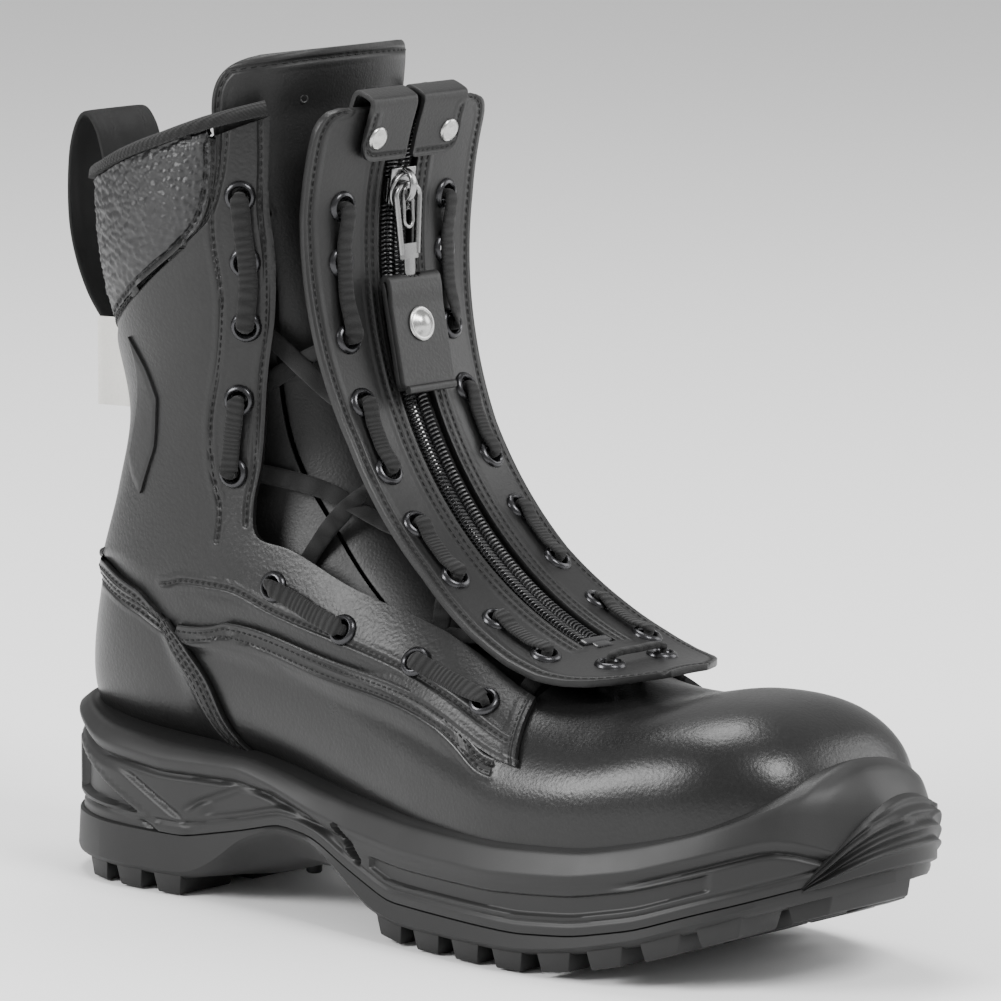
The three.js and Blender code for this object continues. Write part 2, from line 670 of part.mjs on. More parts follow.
function endTab(side) {
  const x = [ZIP_X + side * 1.5, ZIP_X + side * 20.5];
  const front = arcBlock(x[0], x[1], 22.3, 12.8, -2.6, -0.7, 3);
  const top = arcBlock(x[0], x[1], 22.3, 21.2, -2.6, 6.8, 1);
  const back = arcBlock(x[0], x[1], 22.3, 14.5, 5.2, 6.8, 3);
  const shank = rod(arc(ZIP_X + side * 15.5, 16.5, -3.2), arc(ZIP_X + side * 15.5, 16.5, -0.4),
    1.9, 8);
  return front.add(top).add(back).subtract(shank);
}

function tabRivet(side) {
  const z = arc(ZIP_X + side * 15.5, 16.5, -1).sub(arc(ZIP_X + side * 15.5, 16.5, 0)).normalize();
  const x = new THREE.Vector3(1, 0, 0);
  const y = new THREE.Vector3().crossVectors(z, x);
  const profile = [[0, 3.4], [4.3, 3.4], [4.3, 4], [2.4, 4.8], [0, 5.1]];
  const head = new THREE.LatheGeometry(profile.map((p) => new THREE.Vector2(p[0], p[1])), 12);
  head.rotateX(Math.PI / 2);
  const matrix = new THREE.Matrix4().makeBasis(x, y, z);
  matrix.setPosition(arc(ZIP_X + side * 15.5, 16.5, 0));
  head.applyMatrix4(matrix);
  return head;
}

function pullLoop() {
  const line = [[-10.4, 204], [-8.4, 214], [-5, 224], [0, 227.5], [4.5, 216], [4.5, 194], [-2, 176],
    [-13, 163], [-22.5, 155], [-24.4, 146]];
  const width = 13;
  const thick = 1.7;
  const path = (i) => spline(line, ((line.length - 1) * i) / 15);
  return sheet(15, 1, (i, j) => new THREE.Vector3(j ? width : -width, ...path(i)), (i, j) => {
    const a = path(Math.max(i - 1, 0));
    const b = path(Math.min(i + 1, 15));
    const dir = new THREE.Vector2(b[0] - a[0], b[1] - a[1]).normalize();
    const p = path(i);
    return new THREE.Vector3(j ? width : -width, p[0] - dir.y * thick, p[1] + dir.x * thick);
  });
}

function label() {
  return box(-0.4, 0.4, 0, 12, 0, 27).rotate([0, 0, 12]).translate([-14.6, -22.1, 141]);
}

function emblem(side) {
  const shape = [[16.6, 118], [15.4, 101], [14.6, 97], [14.1, 100], [15, 116]];
  const points = shape.flatMap(([t, deg]) => [skin(t, side * deg, 2), skin(t, side * deg, 2.9)]);
  const n = shape.length;
  const triangles = [];
  for (let k = 0; k < n; k += 1) {
    const a = 2 * k;
    const b = 2 * ((k + 1) % n);
    triangles.push([a, b, b + 1], [a, b + 1, a + 1]);
  }
  for (let k = 1; k < n - 1; k += 1) {
    triangles.push([0, 2 * k + 2, 2 * k], [1, 2 * k + 1, 2 * k + 3]);
  }
  return solid(points, triangles);
}

// ---------------------------------------------------------------- zip slider, pull and fob
function slider() {
  const top = arcBlock(ZIP_X - 5.2, ZIP_X + 5.2, 11.2, 5.8, -1.7, -0.3, 3);
  const under = arcBlock(ZIP_X - 4.9, ZIP_X + 4.9, 11.2, 5.8, 4, 5.2, 3);
  const divider = arcBlock(ZIP_X - 0.5, ZIP_X + 0.5, 11.2, 9.4, -0.5, 4.2, 1);
  const bridge = arcBlock(ZIP_X - 1.3, ZIP_X + 1.3, 11, 6, -6.4, -0.5, 4);
  const gap = arcBlock(ZIP_X - 3, ZIP_X + 3, 10, 7, -5.1, -1.7, 4);
  return top.add(under).add(divider).add(bridge.subtract(gap));
}

const pin = (() => {
  const r = ZIP_RADIUS - 3.4;
  return [ZIP_AXIS_Y + r * Math.cos(SLIDER_DEG * DEG), ZIP_AXIS_Z + r * Math.sin(SLIDER_DEG * DEG)];
})();
const PULL_LENGTH = 28;
const joint = [pin[0] - 1.2, pin[1] - PULL_LENGTH];

// The pull is drawn hanging straight down from the pin, then tilted to the joint below it.
function pull() {
  const tilt = Math.atan2(joint[0] - pin[0], pin[1] - joint[1]) / DEG;
  const frame = box(-5.4, 5.4, -0.9, 0.9, -21, 0.9);
  const hole = box(-2.8, 2.8, -2, 2, -8.5, -0.9);
  const window = box(-2.6, 2.6, -2, 2, -18.5, -11);
  const stem = box(-2.4, 2.4, -0.9, 0.9, -PULL_LENGTH, -20);
  const bar = rod(new THREE.Vector3(-7, 0, -PULL_LENGTH), new THREE.Vector3(7, 0, -PULL_LENGTH), 1.1);
  const body = frame.subtract(hole).subtract(window).add(stem).add(bar);
  return body.rotate([tilt, 0, 0]).translate([ZIP_X, pin[0], pin[1]]);
}

function fob() {
  const tilt = -12;
  const outer = rod(new THREE.Vector3(-FOB_WIDTH / 2, 0, 0), new THREE.Vector3(FOB_WIDTH / 2, 0, 0),
    3.1, 12);
  const inner = rod(new THREE.Vector3(-20, 0, 0), new THREE.Vector3(20, 0, 0), 1.5, 12);
  const half = FOB_WIDTH / 2;
  const strap = box(-half, half, -2.5, 2.5, -FOB_LENGTH, -0.5);
  const notch = box(-3.1, 3.1, -5, 5, -1.2, 6);
  const shank = rod(new THREE.Vector3(0, -3, -13), new THREE.Vector3(0, 0.6, -13), 1.9, 8);
  const body = outer.add(strap).subtract(inner).subtract(notch).subtract(shank);
  return body.rotate([tilt, 0, 0]).translate([ZIP_X, joint[0], joint[1]]);
}

function fobStud() {
  const profile = [[0, -0.3], [1.5, -0.3], [1.5, 2.75], [5.4, 2.75], [5.4, 3.3], [3.4, 4.2],
    [0, 4.6]];
  const head = new THREE.LatheGeometry(profile.map((p) => new THREE.Vector2(p[0], p[1])), 14);
  head.rotateX(Math.PI);
  head.translate(0, 0, -13);
  head.rotateX(-12 * DEG);
  head.translate(ZIP_X, joint[0], joint[1]);
  return head;
}

// ---------------------------------------------------------------- sole
const SOLE_ROWS = [
  -2.8, -5, -10, -17, -27, -40, -56, -75, -90, -103, -116, -129, -142, -158, -178, -200, -220,
  -238, -254, -268, -280, -290, -298, -304, -308, -309.8,
];
const NEAR_EDGE = OUTLINE.slice(0, 17).map(([x, y]) => [y, x]);
const FAR_EDGE = [...OUTLINE.slice(16), OUTLINE[0]].map(([x, y]) => [y, x]);

function soleFloor(y) {
  let lo = 0;
  let hi = 12.4;
  for (let k = 0; k < 24; k += 1) {
    const mid = (lo + hi) / 2;
    if (spline(STATIONS, mid)[2] < y) lo = mid;
    else hi = mid;
  }
  return spline(STATIONS, lo)[3] + 1.7;
}

// Stack of cross sections; each is a list of [share of the width, height].
function soleLoft(profile) {
  const sides = profile(-100).length;
  return sweep(SOLE_ROWS.length, sides, (i, k) => {
    const y = SOLE_ROWS[i];
    const [share, z, grow = 0] = profile(y)[k];
    const x = share < 0 ? -share * table(NEAR_EDGE, y) : share * table(FAR_EDGE, y);
    const middle = (table(NEAR_EDGE, y) + table(FAR_EDGE, y)) / 2;
    const px = share === 0 ? middle : x;
    const scale = 1 + grow;
    return new THREE.Vector3(px * scale * WIDE, y > -42 ? -42 + (y + 42) * scale : reach(y), z);
  });
}

function midsoleBlock() {
  return soleLoft((y) => {
    const lip = table(LIP, y);
    const mid = table(LIP_MIDDLE, y);
    const low = table(SPLIT, y);
    const top = (f) => lerp(lip, mid, Math.sqrt(1 - f * f));
    return [
      [-0.97, low], [0, low], [0.97, low], [1, low + 3], [1, lip - 3], [0.975, lip],
      [0.75, top(0.75)], [0.4, top(0.4)], [0, mid], [-0.4, top(0.4)], [-0.75, top(0.75)],
      [-0.975, lip], [-1, lip - 3], [-1, low + 3],
    ];
  });
}

function cavity() {
  const rows = 28;
  return sweep(rows, 24, (i, k) => {
    const t = (13.9 * i) / (rows - 1);
    const p = skin(t, 15 * k, SOLE_GAP);
    if (p.y > -298) p.z = Math.max(p.z, soleFloor(p.y));
    return p;
  });
}

function shankPlate(grow) {
  const rows = 6;
  const y = (i) => lerp(-152 - grow, -62 + grow, i / rows);
  const z = (i) => soleFloor(y(i)) - 0.4;
  return sheet(rows, 1, (i, j) => new THREE.Vector3((j ? 7.5 + grow : -7.5 - grow) - 1, y(i),
    z(i) + grow * 3), (i, j) => new THREE.Vector3((j ? 7.5 + grow : -7.5 - grow) - 1, y(i),
    z(i) - 1.9 - grow));
}

function plate(low, high, share, from, to) {
  const rows = 14;
  const at = (i, j, height) => {
    const [, , by, bz, w, , , , xc] = spline(STATIONS, lerp(from, to, i / rows));
    const round = Math.sqrt(clamp(1 - smooth(0.86, 1.02, i / rows) * 0.8, 0, 1));
    const f = j - 1;
    return new THREE.Vector3((xc + f * w * share * round) * WIDE, reach(by), bz + height);
  };
  return sheet(rows, 2, (i, j) => at(i, j, high), (i, j) => at(i, j, low));
}

function lug(y0, y1, share0, share1, drop) {
  const y = (y0 + y1) / 2;
  const edge = (f) => WIDE * (f < 0 ? -f * table(NEAR_EDGE, y) : f * table(FAR_EDGE, y));
  const floor = table(GROUND, y);
  return box(Math.min(edge(share0), edge(share1)), Math.max(edge(share0), edge(share1)),
    reach(y0), reach(y1), floor - drop, floor + 1.5);
}

function outsole() {
  let body = soleLoft((y) => {
    const high = table(SPLIT, y) - 0.15;
    const edge = table(GROUND, y);
    const mid = table(GROUND_MIDDLE, y);
    const flare = 0.04 * smooth(-70, -40, y);
    return [
      [-0.94, edge, flare], [-0.55, mid, flare], [0, mid, flare], [0.55, mid, flare],
      [0.94, edge, flare], [1, edge + 2, flare], [1, Math.min(edge + 4, high - 0.5), flare * 0.8],
      [0.975, high], [0, high], [-0.975, high], [-1, Math.min(edge + 4, high - 0.5), flare * 0.8],
      [-1, edge + 2, flare],
    ];
  });
  const lugs = [];
  for (const y of [-14, -30, -46, -62]) {
    const wide = y === -14 ? 0.74 : 0.9;
    lugs.push(lug(y - 6, y + 5.5, -wide, -0.42, 5), lug(y - 6, y + 5.5, 0.42, wide, 5));
    lugs.push(lug(y - 6, y + 5.5, -0.24, 0.24, 5));
  }
  for (const y of [-160, -177, -194, -211, -228, -245, -262, -278]) {
    lugs.push(lug(y - 6, y + 6, -0.9, -0.49, 5), lug(y - 6, y + 6, 0.49, 0.9, 5));
    lugs.push(lug(y - 5, y + 5, -0.34, 0.34, 5));
  }
  lugs.push(lug(-300, -289, -0.7, 0.7, 5));
  for (const piece of lugs) body = body.add(piece);
  return body;
}

function outlinePoint(k, out) {
  const [[x, y], a, b] = [k, k - 1, k + 1].map((n) => [OUTLINE[n][0] * WIDE, reach(OUTLINE[n][1])]);
  const d = Math.hypot(b[0] - a[0], b[1] - a[1]);
  return [x + ((b[1] - a[1]) / d) * out, y - ((b[0] - a[0]) / d) * out];
}

// Guard over the toe: a rubber skin with three ridges, wrapped round the front of the outline.
function toeGuard() {
  const heights = [34, 36, 37.2, 38.4, 39.6, 40.8, 42, 43.2, 44];
  const relief = [1.2, 1.8, 3.2, 1.8, 3.2, 1.8, 3.2, 1.8, 1.2];
  const columns = 14;
  const ring = (j, out) => {
    const s = lerp(13.2, 18.8, j / columns);
    const k = Math.floor(s);
    const a = outlinePoint(k, out);
    const b = outlinePoint(k + 1, out);
    return [lerp(a[0], b[0], s - k), lerp(a[1], b[1], s - k)];
  };
  return sheet(heights.length - 1, columns,
    (i, j) => new THREE.Vector3(...ring(j, relief[i]), heights[i]),
    (i, j) => new THREE.Vector3(...ring(j, 0.5), heights[i]));
}

// ---------------------------------------------------------------- assembly
const block = midsoleBlock();
const hollow = cavity();
const midsoleBody = block.subtract(hollow).subtract(shankPlate(0.3));
add('outsole', outsole(), 'rubber');
add('midsole', midsoleBody, 'polyurethane');
add('toe_guard', toeGuard(), 'rubber');
add('shank', shankPlate(0), 'steel');
add('puncture_plate', plate(3, 5, 0.56, 2, 12), 'plate');
add('footbed', plate(9.2, 13.3, 0.45, 2.8, 11.85), 'foam');
add('toe_cap', toeCap(), 'capShell');
add('heel_stiffener', heelStiffener(), 'plate');
add('shaft_padding', shaftPadding(), 'foam');
add('vamp_lining', vampLining(), 'textile');
add('shaft_lining', shaftLining(), 'textile');
add('vamp', vamp(), 'leather');
add('quarter_outer', quarter(-1), 'leather');
add('quarter_inner', quarter(1), 'leather');
add('heel_cover', heelCover(), 'leather');
add('collar_panel', collarPanel(), 'grain');
add('collar_binding', collarBinding(), 'textile');
add('tongue', tongue(), 'softLeather');
add('gusset_outer', gusset(-1), 'softLeather');
add('gusset_inner', gusset(1), 'softLeather');
add('pull_loop', pullLoop(), 'textile');
add('label', label(), 'tag');
add('emblem_outer', emblem(-1), 'grain');
add('emblem_inner', emblem(1), 'grain');
add('zip_panel', zipPanel(), 'leather');
add('zip_tape_outer', zipTape(-1), 'textile');
add('zip_tape_inner', zipTape(1), 'textile');
add('zip_coil_outer', zipCoil(-1), 'coil');
add('zip_coil_inner', zipCoil(1), 'coil');
add('zip_stop', bottomStop(), 'blackMetal');
add('end_tab_outer', endTab(-1), 'leather');
add('end_tab_inner', endTab(1), 'leather');
add('tab_rivet_outer', tabRivet(-1), 'steel');
add('tab_rivet_inner', tabRivet(1), 'steel');
add('eyelets_facing_outer', eyeletsFacing(-1), 'blackMetal');
add('eyelets_facing_inner', eyeletsFacing(1), 'blackMetal');
add('eyelets_panel_outer', eyeletsPanel(-1), 'blackMetal');
add('eyelets_panel_inner', eyeletsPanel(1), 'blackMetal');
add('lace_outer', lace(-1), 'cord');
add('lace_inner', lace(1), 'cord');
add('tie_cord', tieCord(), 'cord');
add('zip_slider', slider(), 'steel');
add('zip_pull', pull(), 'steel');
add('zip_fob', fob(), 'leather');
add('fob_stud', fobStud(), 'steel');

// The origin is the middle of the box round the boot, at the ground.
const extent = new THREE.Box3().setFromObject(boot);
const centre = extent.getCenter(new THREE.Vector3());
for (const node of boot.children) {
  node.geometry.translate(-centre.x, -centre.y, -extent.min.z);
}

export default boot;
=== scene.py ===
"""A zip-front fire boot: the visible pieces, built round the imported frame."""

import logging
import math
from dataclasses import dataclass, field
from enum import Enum
from typing import Callable, Optional, Sequence

import bpy
import numpy as np
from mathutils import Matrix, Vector
from mathutils.bvhtree import BVHTree

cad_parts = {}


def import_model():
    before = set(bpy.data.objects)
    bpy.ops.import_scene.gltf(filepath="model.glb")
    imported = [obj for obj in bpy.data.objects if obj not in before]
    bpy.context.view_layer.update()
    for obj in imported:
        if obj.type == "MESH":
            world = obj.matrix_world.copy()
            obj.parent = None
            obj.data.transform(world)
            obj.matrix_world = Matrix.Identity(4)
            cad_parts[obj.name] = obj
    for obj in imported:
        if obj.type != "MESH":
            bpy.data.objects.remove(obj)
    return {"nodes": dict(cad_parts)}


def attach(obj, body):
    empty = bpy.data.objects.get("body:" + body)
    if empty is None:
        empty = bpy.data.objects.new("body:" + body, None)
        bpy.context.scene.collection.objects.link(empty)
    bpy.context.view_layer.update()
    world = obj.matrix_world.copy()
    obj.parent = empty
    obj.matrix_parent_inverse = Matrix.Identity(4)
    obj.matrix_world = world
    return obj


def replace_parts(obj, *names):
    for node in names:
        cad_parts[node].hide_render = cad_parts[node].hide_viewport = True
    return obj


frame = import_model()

LOG = logging.getLogger("fire_boot")
Array = np.ndarray
MM = 0.001
SHIFT = np.array([1.5392, 153.2591, 0.0])
BODY = "boot"
SIDES = ((-1, "outer"), (1, "inner"))


# ---------------------------------------------------------------- small sums
def smooth(low: float, high: float, value: Array) -> Array:
    """Smooth step of value from low to high."""
    f = np.clip((np.asarray(value, float) - low) / (high - low), 0, 1)
    return f * f * (3 - 2 * f)


def blend(a: Array, b: Array, f: Array) -> Array:
    """Straight mix of a and b by f."""
    return a + (b - a) * f


def bump_at(value: Array, centre: float, width: float) -> Array:
    """Round bump of height one at centre, fading over width."""
    return np.exp(-(((np.asarray(value, float) - centre) / width) ** 2))


def table(rows: Sequence[Sequence[float]], key: Array) -> Array:
    """Straight interpolation in a two-column table, in either order."""
    data = np.array(sorted(rows), float)
    return np.interp(key, data[:, 0], data[:, 1])


def spline(knots: Sequence[Sequence[float]], u: Array, closed: bool = False) -> Array:
    """Catmull-Rom curve through the knots, one knot per unit of u.

    Args:
        knots: points of any dimension.
        u: places along the curve.
        closed: whether the curve runs back to its first knot.

    Returns:
        One point for each value of u, in a last axis.
    """
    k = np.asarray(knots, float)
    n = len(k)
    u = np.asarray(u, float)
    if closed:
        i = np.floor(u).astype(int)
        f = (u - i)[..., None]
        p = [k[(i + d) % n] for d in (-1, 0, 1, 2)]
    else:
        s = np.clip(u, 0, n - 1)
        i = np.minimum(np.floor(s).astype(int), n - 2)
        f = (s - i)[..., None]
        p = [k[np.clip(i + d, 0, n - 1)] for d in (-1, 0, 1, 2)]
    a, b, c, d = p
    return 0.5 * (2 * b + (c - a) * f + (2 * a - 5 * b + 4 * c - d) * f**2 + (3 * b - a - 3 * c + d) * f**3)


def unit(v: Array) -> Array:
    """Vectors scaled to length one."""
    return v / np.maximum(np.linalg.norm(v, axis=-1, keepdims=True), 1e-9)


def world(points: Array) -> Array:
    """Model millimetres to metres in the frame."""
    return (np.asarray(points, float) + SHIFT) * MM


def resample(line: Array, step: float) -> Array:
    """A polyline cut into equal steps.

    Args:
        line: points along it.
        step: wanted length of a step.

    Returns:
        Points at equal distances, both ends kept.
    """
    d = np.r_[0, np.cumsum(np.linalg.norm(np.diff(line, axis=0), axis=1))]
    count = max(int(round(d[-1] / step)), 1)
    at = np.linspace(0, d[-1], count + 1)
    return np.stack([np.interp(at, d, line[:, k]) for k in range(line.shape[1])], -1)


# ---------------------------------------------------------------- the form
class Form:
    """The shape of the upper: stations from the toe to the top of the shaft."""

    STATIONS = (
        (-300, 45, -300, 40, 1, 0.5, 2, 2, 4.5), (-298, 54, -298, 37.5, 14, 0.5, 2.2, 2.4, 4),
        (-293.5, 63, -293.5, 35, 25, 0.44, 2.4, 3, 3.5),
        (-285, 72, -285, 32, 34.5, 0.42, 2.6, 3.4, 2.5), (-271, 78, -271, 29, 42.5, 0.38, 2.6, 3.6, 1),
        (-252, 79, -252, 25.5, 47.5, 0.39, 2.45, 3.6, 0),
        (-229, 75.5, -229, 22.8, 50.5, 0.42, 2.3, 3.6, -1.5),
        (-203, 79.5, -203, 22, 50.5, 0.4, 2.1, 3.6, -2.5),
        (-178, 94, -174, 25, 47.5, 0.38, 1.95, 3.6, -2.5),
        (-157, 107, -143, 30, 43.5, 0.38, 1.9, 3.4, -2), (-140, 121, -106, 35, 40.5, 0.4, 1.9, 3, -1),
        (-127, 138, -66, 37.5, 39, 0.44, 2, 2.8, 0), (-120, 154, -29, 38, 38.5, 0.46, 2, 2.7, 0),
        (-117, 168, -7.5, 47, 38.5, 0.47, 2.1, 2.3, 0), (-115, 181, -8, 76, 39, 0.49, 2.1, 2.1, 0),
        (-113.5, 194, -19.5, 106, 40, 0.51, 2.2, 2.2, 0),
        (-112, 206, -27.5, 134, 42.5, 0.53, 2.2, 2.2, 0),
        (-111, 218, -22.5, 163, 46.5, 0.55, 2.2, 2.2, 0),
        (-110.5, 230, -18, 193, 49, 0.56, 2.2, 2.2, 0),
        (-110, 242, -13.5, 222, 50.5, 0.56, 2.2, 2.2, 0),
        (-109.5, 256, -11, 242, 50.5, 0.56, 2.2, 2.2, 0),
    )

    def point(self, t: Array, deg: Array) -> Array:
        """Points on the outer face of the upper at station t and angle deg."""
        t, deg = np.broadcast_arrays(np.asarray(t, float), np.asarray(deg, float))
        row = spline(self.STATIONS, t)
        fy, fz, by, bz, w, m, nf, nb, xc = np.moveaxis(row, -1, 0)
        c, s = np.cos(np.radians(deg)), np.sin(np.radians(deg))
        n = np.where(c >= 0, nf, nb)
        power = 2 / n
        h = np.where(c >= 0, 1 - m, m) * np.sign(c) * np.abs(c) ** power + m
        x = xc + w * np.sign(s) * np.abs(s) ** power
        return np.stack([x, by + (fy - by) * h, bz + (fz - bz) * h], -1)

    def out(self, t: Array, deg: Array) -> Array:
        """Outward unit normals of the form."""
        t, deg = np.broadcast_arrays(np.asarray(t, float), np.asarray(deg, float))
        along = self.point(t + 0.02, deg) - self.point(np.maximum(t - 0.02, 0), deg)
        around = self.point(t, deg + 1) - self.point(t, deg - 1)
        n = unit(np.cross(around, along))
        middle = (self.point(t, 0 * deg) + self.point(t, 0 * deg + 180)) / 2
        flip = np.sum(n * (self.point(t, deg) - middle), -1, keepdims=True) < 0
        return np.where(flip, -n, n)

    def skin(self, t: Array, deg: Array, depth: Array = 0.0, lift: Array = 0.0) -> Array:
        """Points at a depth outside the form.

        Args:
            t: stations.
            deg: angles, 0 at the front, 180 at the back, negative on the outer side.
            depth: distance out of the outer face.
            lift: distance along the shaft.

        Returns:
            Points in model millimetres.
        """
        t, deg = np.broadcast_arrays(np.asarray(t, float), np.asarray(deg, float))
        p = self.point(t, deg) + self.out(t, deg) * np.asarray(depth, float)[..., None]
        if np.any(lift):
            along = unit(self.point(t + 0.02, deg) - self.point(np.maximum(t - 0.02, 0), deg))
            p = p + along * np.asarray(lift, float)[..., None]
        return p


class ZipArc:
    """The arc that the zip and its leather panel run on."""

    RADIUS, AXIS_Y, AXIS_Z, X, CROWN = 117.0, -233.8, 198.0, 0.5, 460.0

    def point(self, x: Array, deg: Array, depth: Array = 0.0, crowned: bool = True) -> Array:
        """Points on the arc; depth goes into the boot."""
        x, deg, depth = np.broadcast_arrays(*(np.asarray(v, float) for v in (x, deg, depth)))
        r = self.RADIUS + depth
        if crowned:
            r = r + (x - self.X) ** 2 / self.CROWN - 3 * (1 - smooth(-92, -74, deg))
        a = np.radians(deg)
        return np.stack([x, self.AXIS_Y + r * np.cos(a), self.AXIS_Z + r * np.sin(a)], -1)

    def out(self, x: Array, deg: Array) -> Array:
        """Normals that point out of the boot."""
        x, deg = np.broadcast_arrays(np.asarray(x, float), np.asarray(deg, float))
        across = self.point(x + 1, deg) - self.point(x - 1, deg)
        along = self.point(x, deg + 1) - self.point(x, deg - 1)
        n = unit(np.cross(across, along))
        inward = np.stack([0 * deg, np.cos(np.radians(deg)), np.sin(np.radians(deg))], -1)
        flip = np.sum(n * inward, -1, keepdims=True) > 0
        return np.where(flip, -n, n)


FORM = Form()
ARC = ZipArc()


# ---------------------------------------------------------------- mesh making
def deselect() -> None:
    """Leave edit mode and clear the selection."""
    if bpy.context.object and bpy.context.object.mode != "OBJECT":
        bpy.ops.object.mode_set(mode="OBJECT")
    bpy.ops.object.select_all(action="DESELECT")


def edit(obj: bpy.types.Object, *steps: Callable[[], object]) -> None:
    """Run edit-mode operators on everything in an object."""
    deselect()
    obj.select_set(True)
    bpy.context.view_layer.objects.active = obj
    bpy.ops.object.mode_set(mode="EDIT")
    bpy.ops.mesh.select_all(action="SELECT")
    for step in steps:
        step()
    bpy.ops.object.mode_set(mode="OBJECT")


def modify(obj: bpy.types.Object, kind: str, **settings: object) -> None:
    """Add a modifier and apply it."""
    deselect()
    obj.select_set(True)
    bpy.context.view_layer.objects.active = obj
    modifier = obj.modifiers.new(kind.title(), kind)
    for key, value in settings.items():
        setattr(modifier, key, value)
    bpy.ops.object.modifier_apply(modifier=modifier.name)


def grid(name: str, points: Array, out: Optional[Array] = None) -> bpy.types.Object:
    """A grid of faces laid over points.

    Args:
        name: the object's name.
        points: rows by columns of places, in model millimetres.
        out: directions the faces look in, one per point.

    Returns:
        The new object.
    """
    rows, columns = points.shape[:2]
    deselect()
    bpy.ops.mesh.primitive_grid_add(x_subdivisions=columns - 1, y_subdivisions=rows - 1, size=1)
    obj = bpy.context.object
    obj.name = name
    obj.data.name = name
    obj.data.vertices.foreach_set("co", world(points).ravel())
    obj.data.update()
    if out is not None:
        dc = np.gradient(points, axis=1)
        dr = np.gradient(points, axis=0)
        if np.sum(np.cross(dc, dr) * out) < 0:
            edit(obj, bpy.ops.mesh.flip_normals)
    return obj


def tube(name: str, rings: Array, caps: bool = True, loop: bool = False) -> bpy.types.Object:
    """A closed skin over a row of rings.

    Args:
        name: the object's name.
        rings: count by sides of places, in model millimetres.
        caps: whether both ends are closed.
        loop: whether the last ring joins the first.

    Returns:
        The new object, its faces looking out.
    """
    around = np.concatenate([rings, rings[:, :1]], 1)
    if loop:
        around = np.concatenate([around, around[:1]], 0)
    obj = grid(name, around)
    steps = [lambda: bpy.ops.mesh.remove_doubles(threshold=1e-6)]
    if caps and not loop:
        steps += [lambda: bpy.ops.mesh.select_all(action="DESELECT"),
                  lambda: bpy.ops.mesh.select_non_manifold(),
                  lambda: bpy.ops.mesh.fill_holes(sides=0),
                  lambda: bpy.ops.mesh.select_all(action="SELECT")]
    steps.append(lambda: bpy.ops.mesh.normals_make_consistent(inside=False))
    edit(obj, *steps)
    return obj


def section(path: Array, up: Array, shape: Callable[[int], Array]) -> Array:
    """Rings of a section carried along a path.

    Args:
        path: centre points.
        up: a direction for each point that the section's second axis keeps to.
        shape: the section at a point of the path, as (across, up) pairs.

    Returns:
        Rings for tube().
    """
    along = unit(np.gradient(path, axis=0))
    side = unit(np.cross(along, up))
    top = unit(np.cross(side, along))
    rings = [path[i] + shape(i)[:, :1] * side[i] + shape(i)[:, 1:] * top[i] for i in range(len(path))]
    return np.array(rings)


def oval(half_width: float, half_height: float, sides: int, power: float = 2.0) -> Array:
    """A rounded section; a power over two makes it squarer."""
    a = np.linspace(0, 2 * np.pi, sides, endpoint=False)
    c, s = np.cos(a), np.sin(a)
    e = 2 / power
    return np.stack([half_width * np.sign(c) * np.abs(c) ** e,
                     half_height * np.sign(s) * np.abs(s) ** e], -1)


def cut_holes(obj: bpy.types.Object, centres: Array, radius: float) -> None:
    """Delete the faces of a thin sheet that lie within a radius of any centre."""
    mesh = obj.data
    middle = np.array([p.center for p in mesh.polygons])
    hit = np.zeros(len(middle), bool)
    for c in world(centres):
        hit |= np.linalg.norm(middle - c, axis=1) < radius * MM
    deselect()
    bpy.context.view_layer.objects.active = obj
    bpy.ops.object.mode_set(mode="EDIT")
    bpy.ops.mesh.select_mode(type="FACE")
    bpy.ops.mesh.select_all(action="DESELECT")
    bpy.ops.object.mode_set(mode="OBJECT")
    mesh.polygons.foreach_set("select", hit)
    bpy.ops.object.mode_set(mode="EDIT")
    bpy.ops.mesh.delete(type="FACE")
    bpy.ops.mesh.select_mode(type="VERT")
    bpy.ops.object.mode_set(mode="OBJECT")


def thicken(obj: bpy.types.Object, thickness: float, edge: float) -> None:
    """Give a sheet its leather thickness, inwards, and round its cut edges."""
    modify(obj, "SOLIDIFY", thickness=thickness * MM, offset=-1.0, use_even_offset=False)
    modify(obj, "BEVEL", width=edge * MM, segments=2, limit_method="ANGLE", angle_limit=math.radians(55))


class Seat:
    """The face of a finished piece, for what is set down on it."""

    def __init__(self, obj: bpy.types.Object) -> None:
        """Take the piece's faces."""
        mesh = obj.data
        self.tree = BVHTree.FromPolygons([v.co[:] for v in mesh.vertices],
                                         [p.vertices[:] for p in mesh.polygons])

    def nearest(self, points: Array) -> tuple[Array, Array]:
        """The nearest places on the piece, in model millimetres, and its normals there."""
        hits = [self.tree.find_nearest(Vector(p)) for p in world(np.atleast_2d(points))]
        places = np.array([h[0][:] for h in hits]) / MM - SHIFT
        return places, np.array([h[1][:] for h in hits])


def mark_seams(obj: bpy.types.Object, lines: Sequence[Array]) -> None:
    """Store each point's distance from the nearest stitched line, in millimetres."""
    mesh = obj.data
    co = np.empty(len(mesh.vertices) * 3)
    mesh.vertices.foreach_get("co", co)
    co = co.reshape(-1, 3) / MM - SHIFT
    best = np.full(len(co), 50.0)
    for line in lines:
        a, b = line[:-1], line[1:]
        d = b - a
        length = np.maximum(np.sum(d * d, -1), 1e-9)
        for k in range(0, len(co), 4000):
            p = co[k:k + 4000, None]
            f = np.clip(np.sum((p - a) * d, -1) / length, 0, 1)
            gap = np.linalg.norm(p - a - f[..., None] * d, axis=-1).min(1)
            best[k:k + 4000] = np.minimum(best[k:k + 4000], gap)
    layer = mesh.attributes.new("seam", "FLOAT", "POINT")
    layer.data.foreach_set("value", best.astype(np.float32))


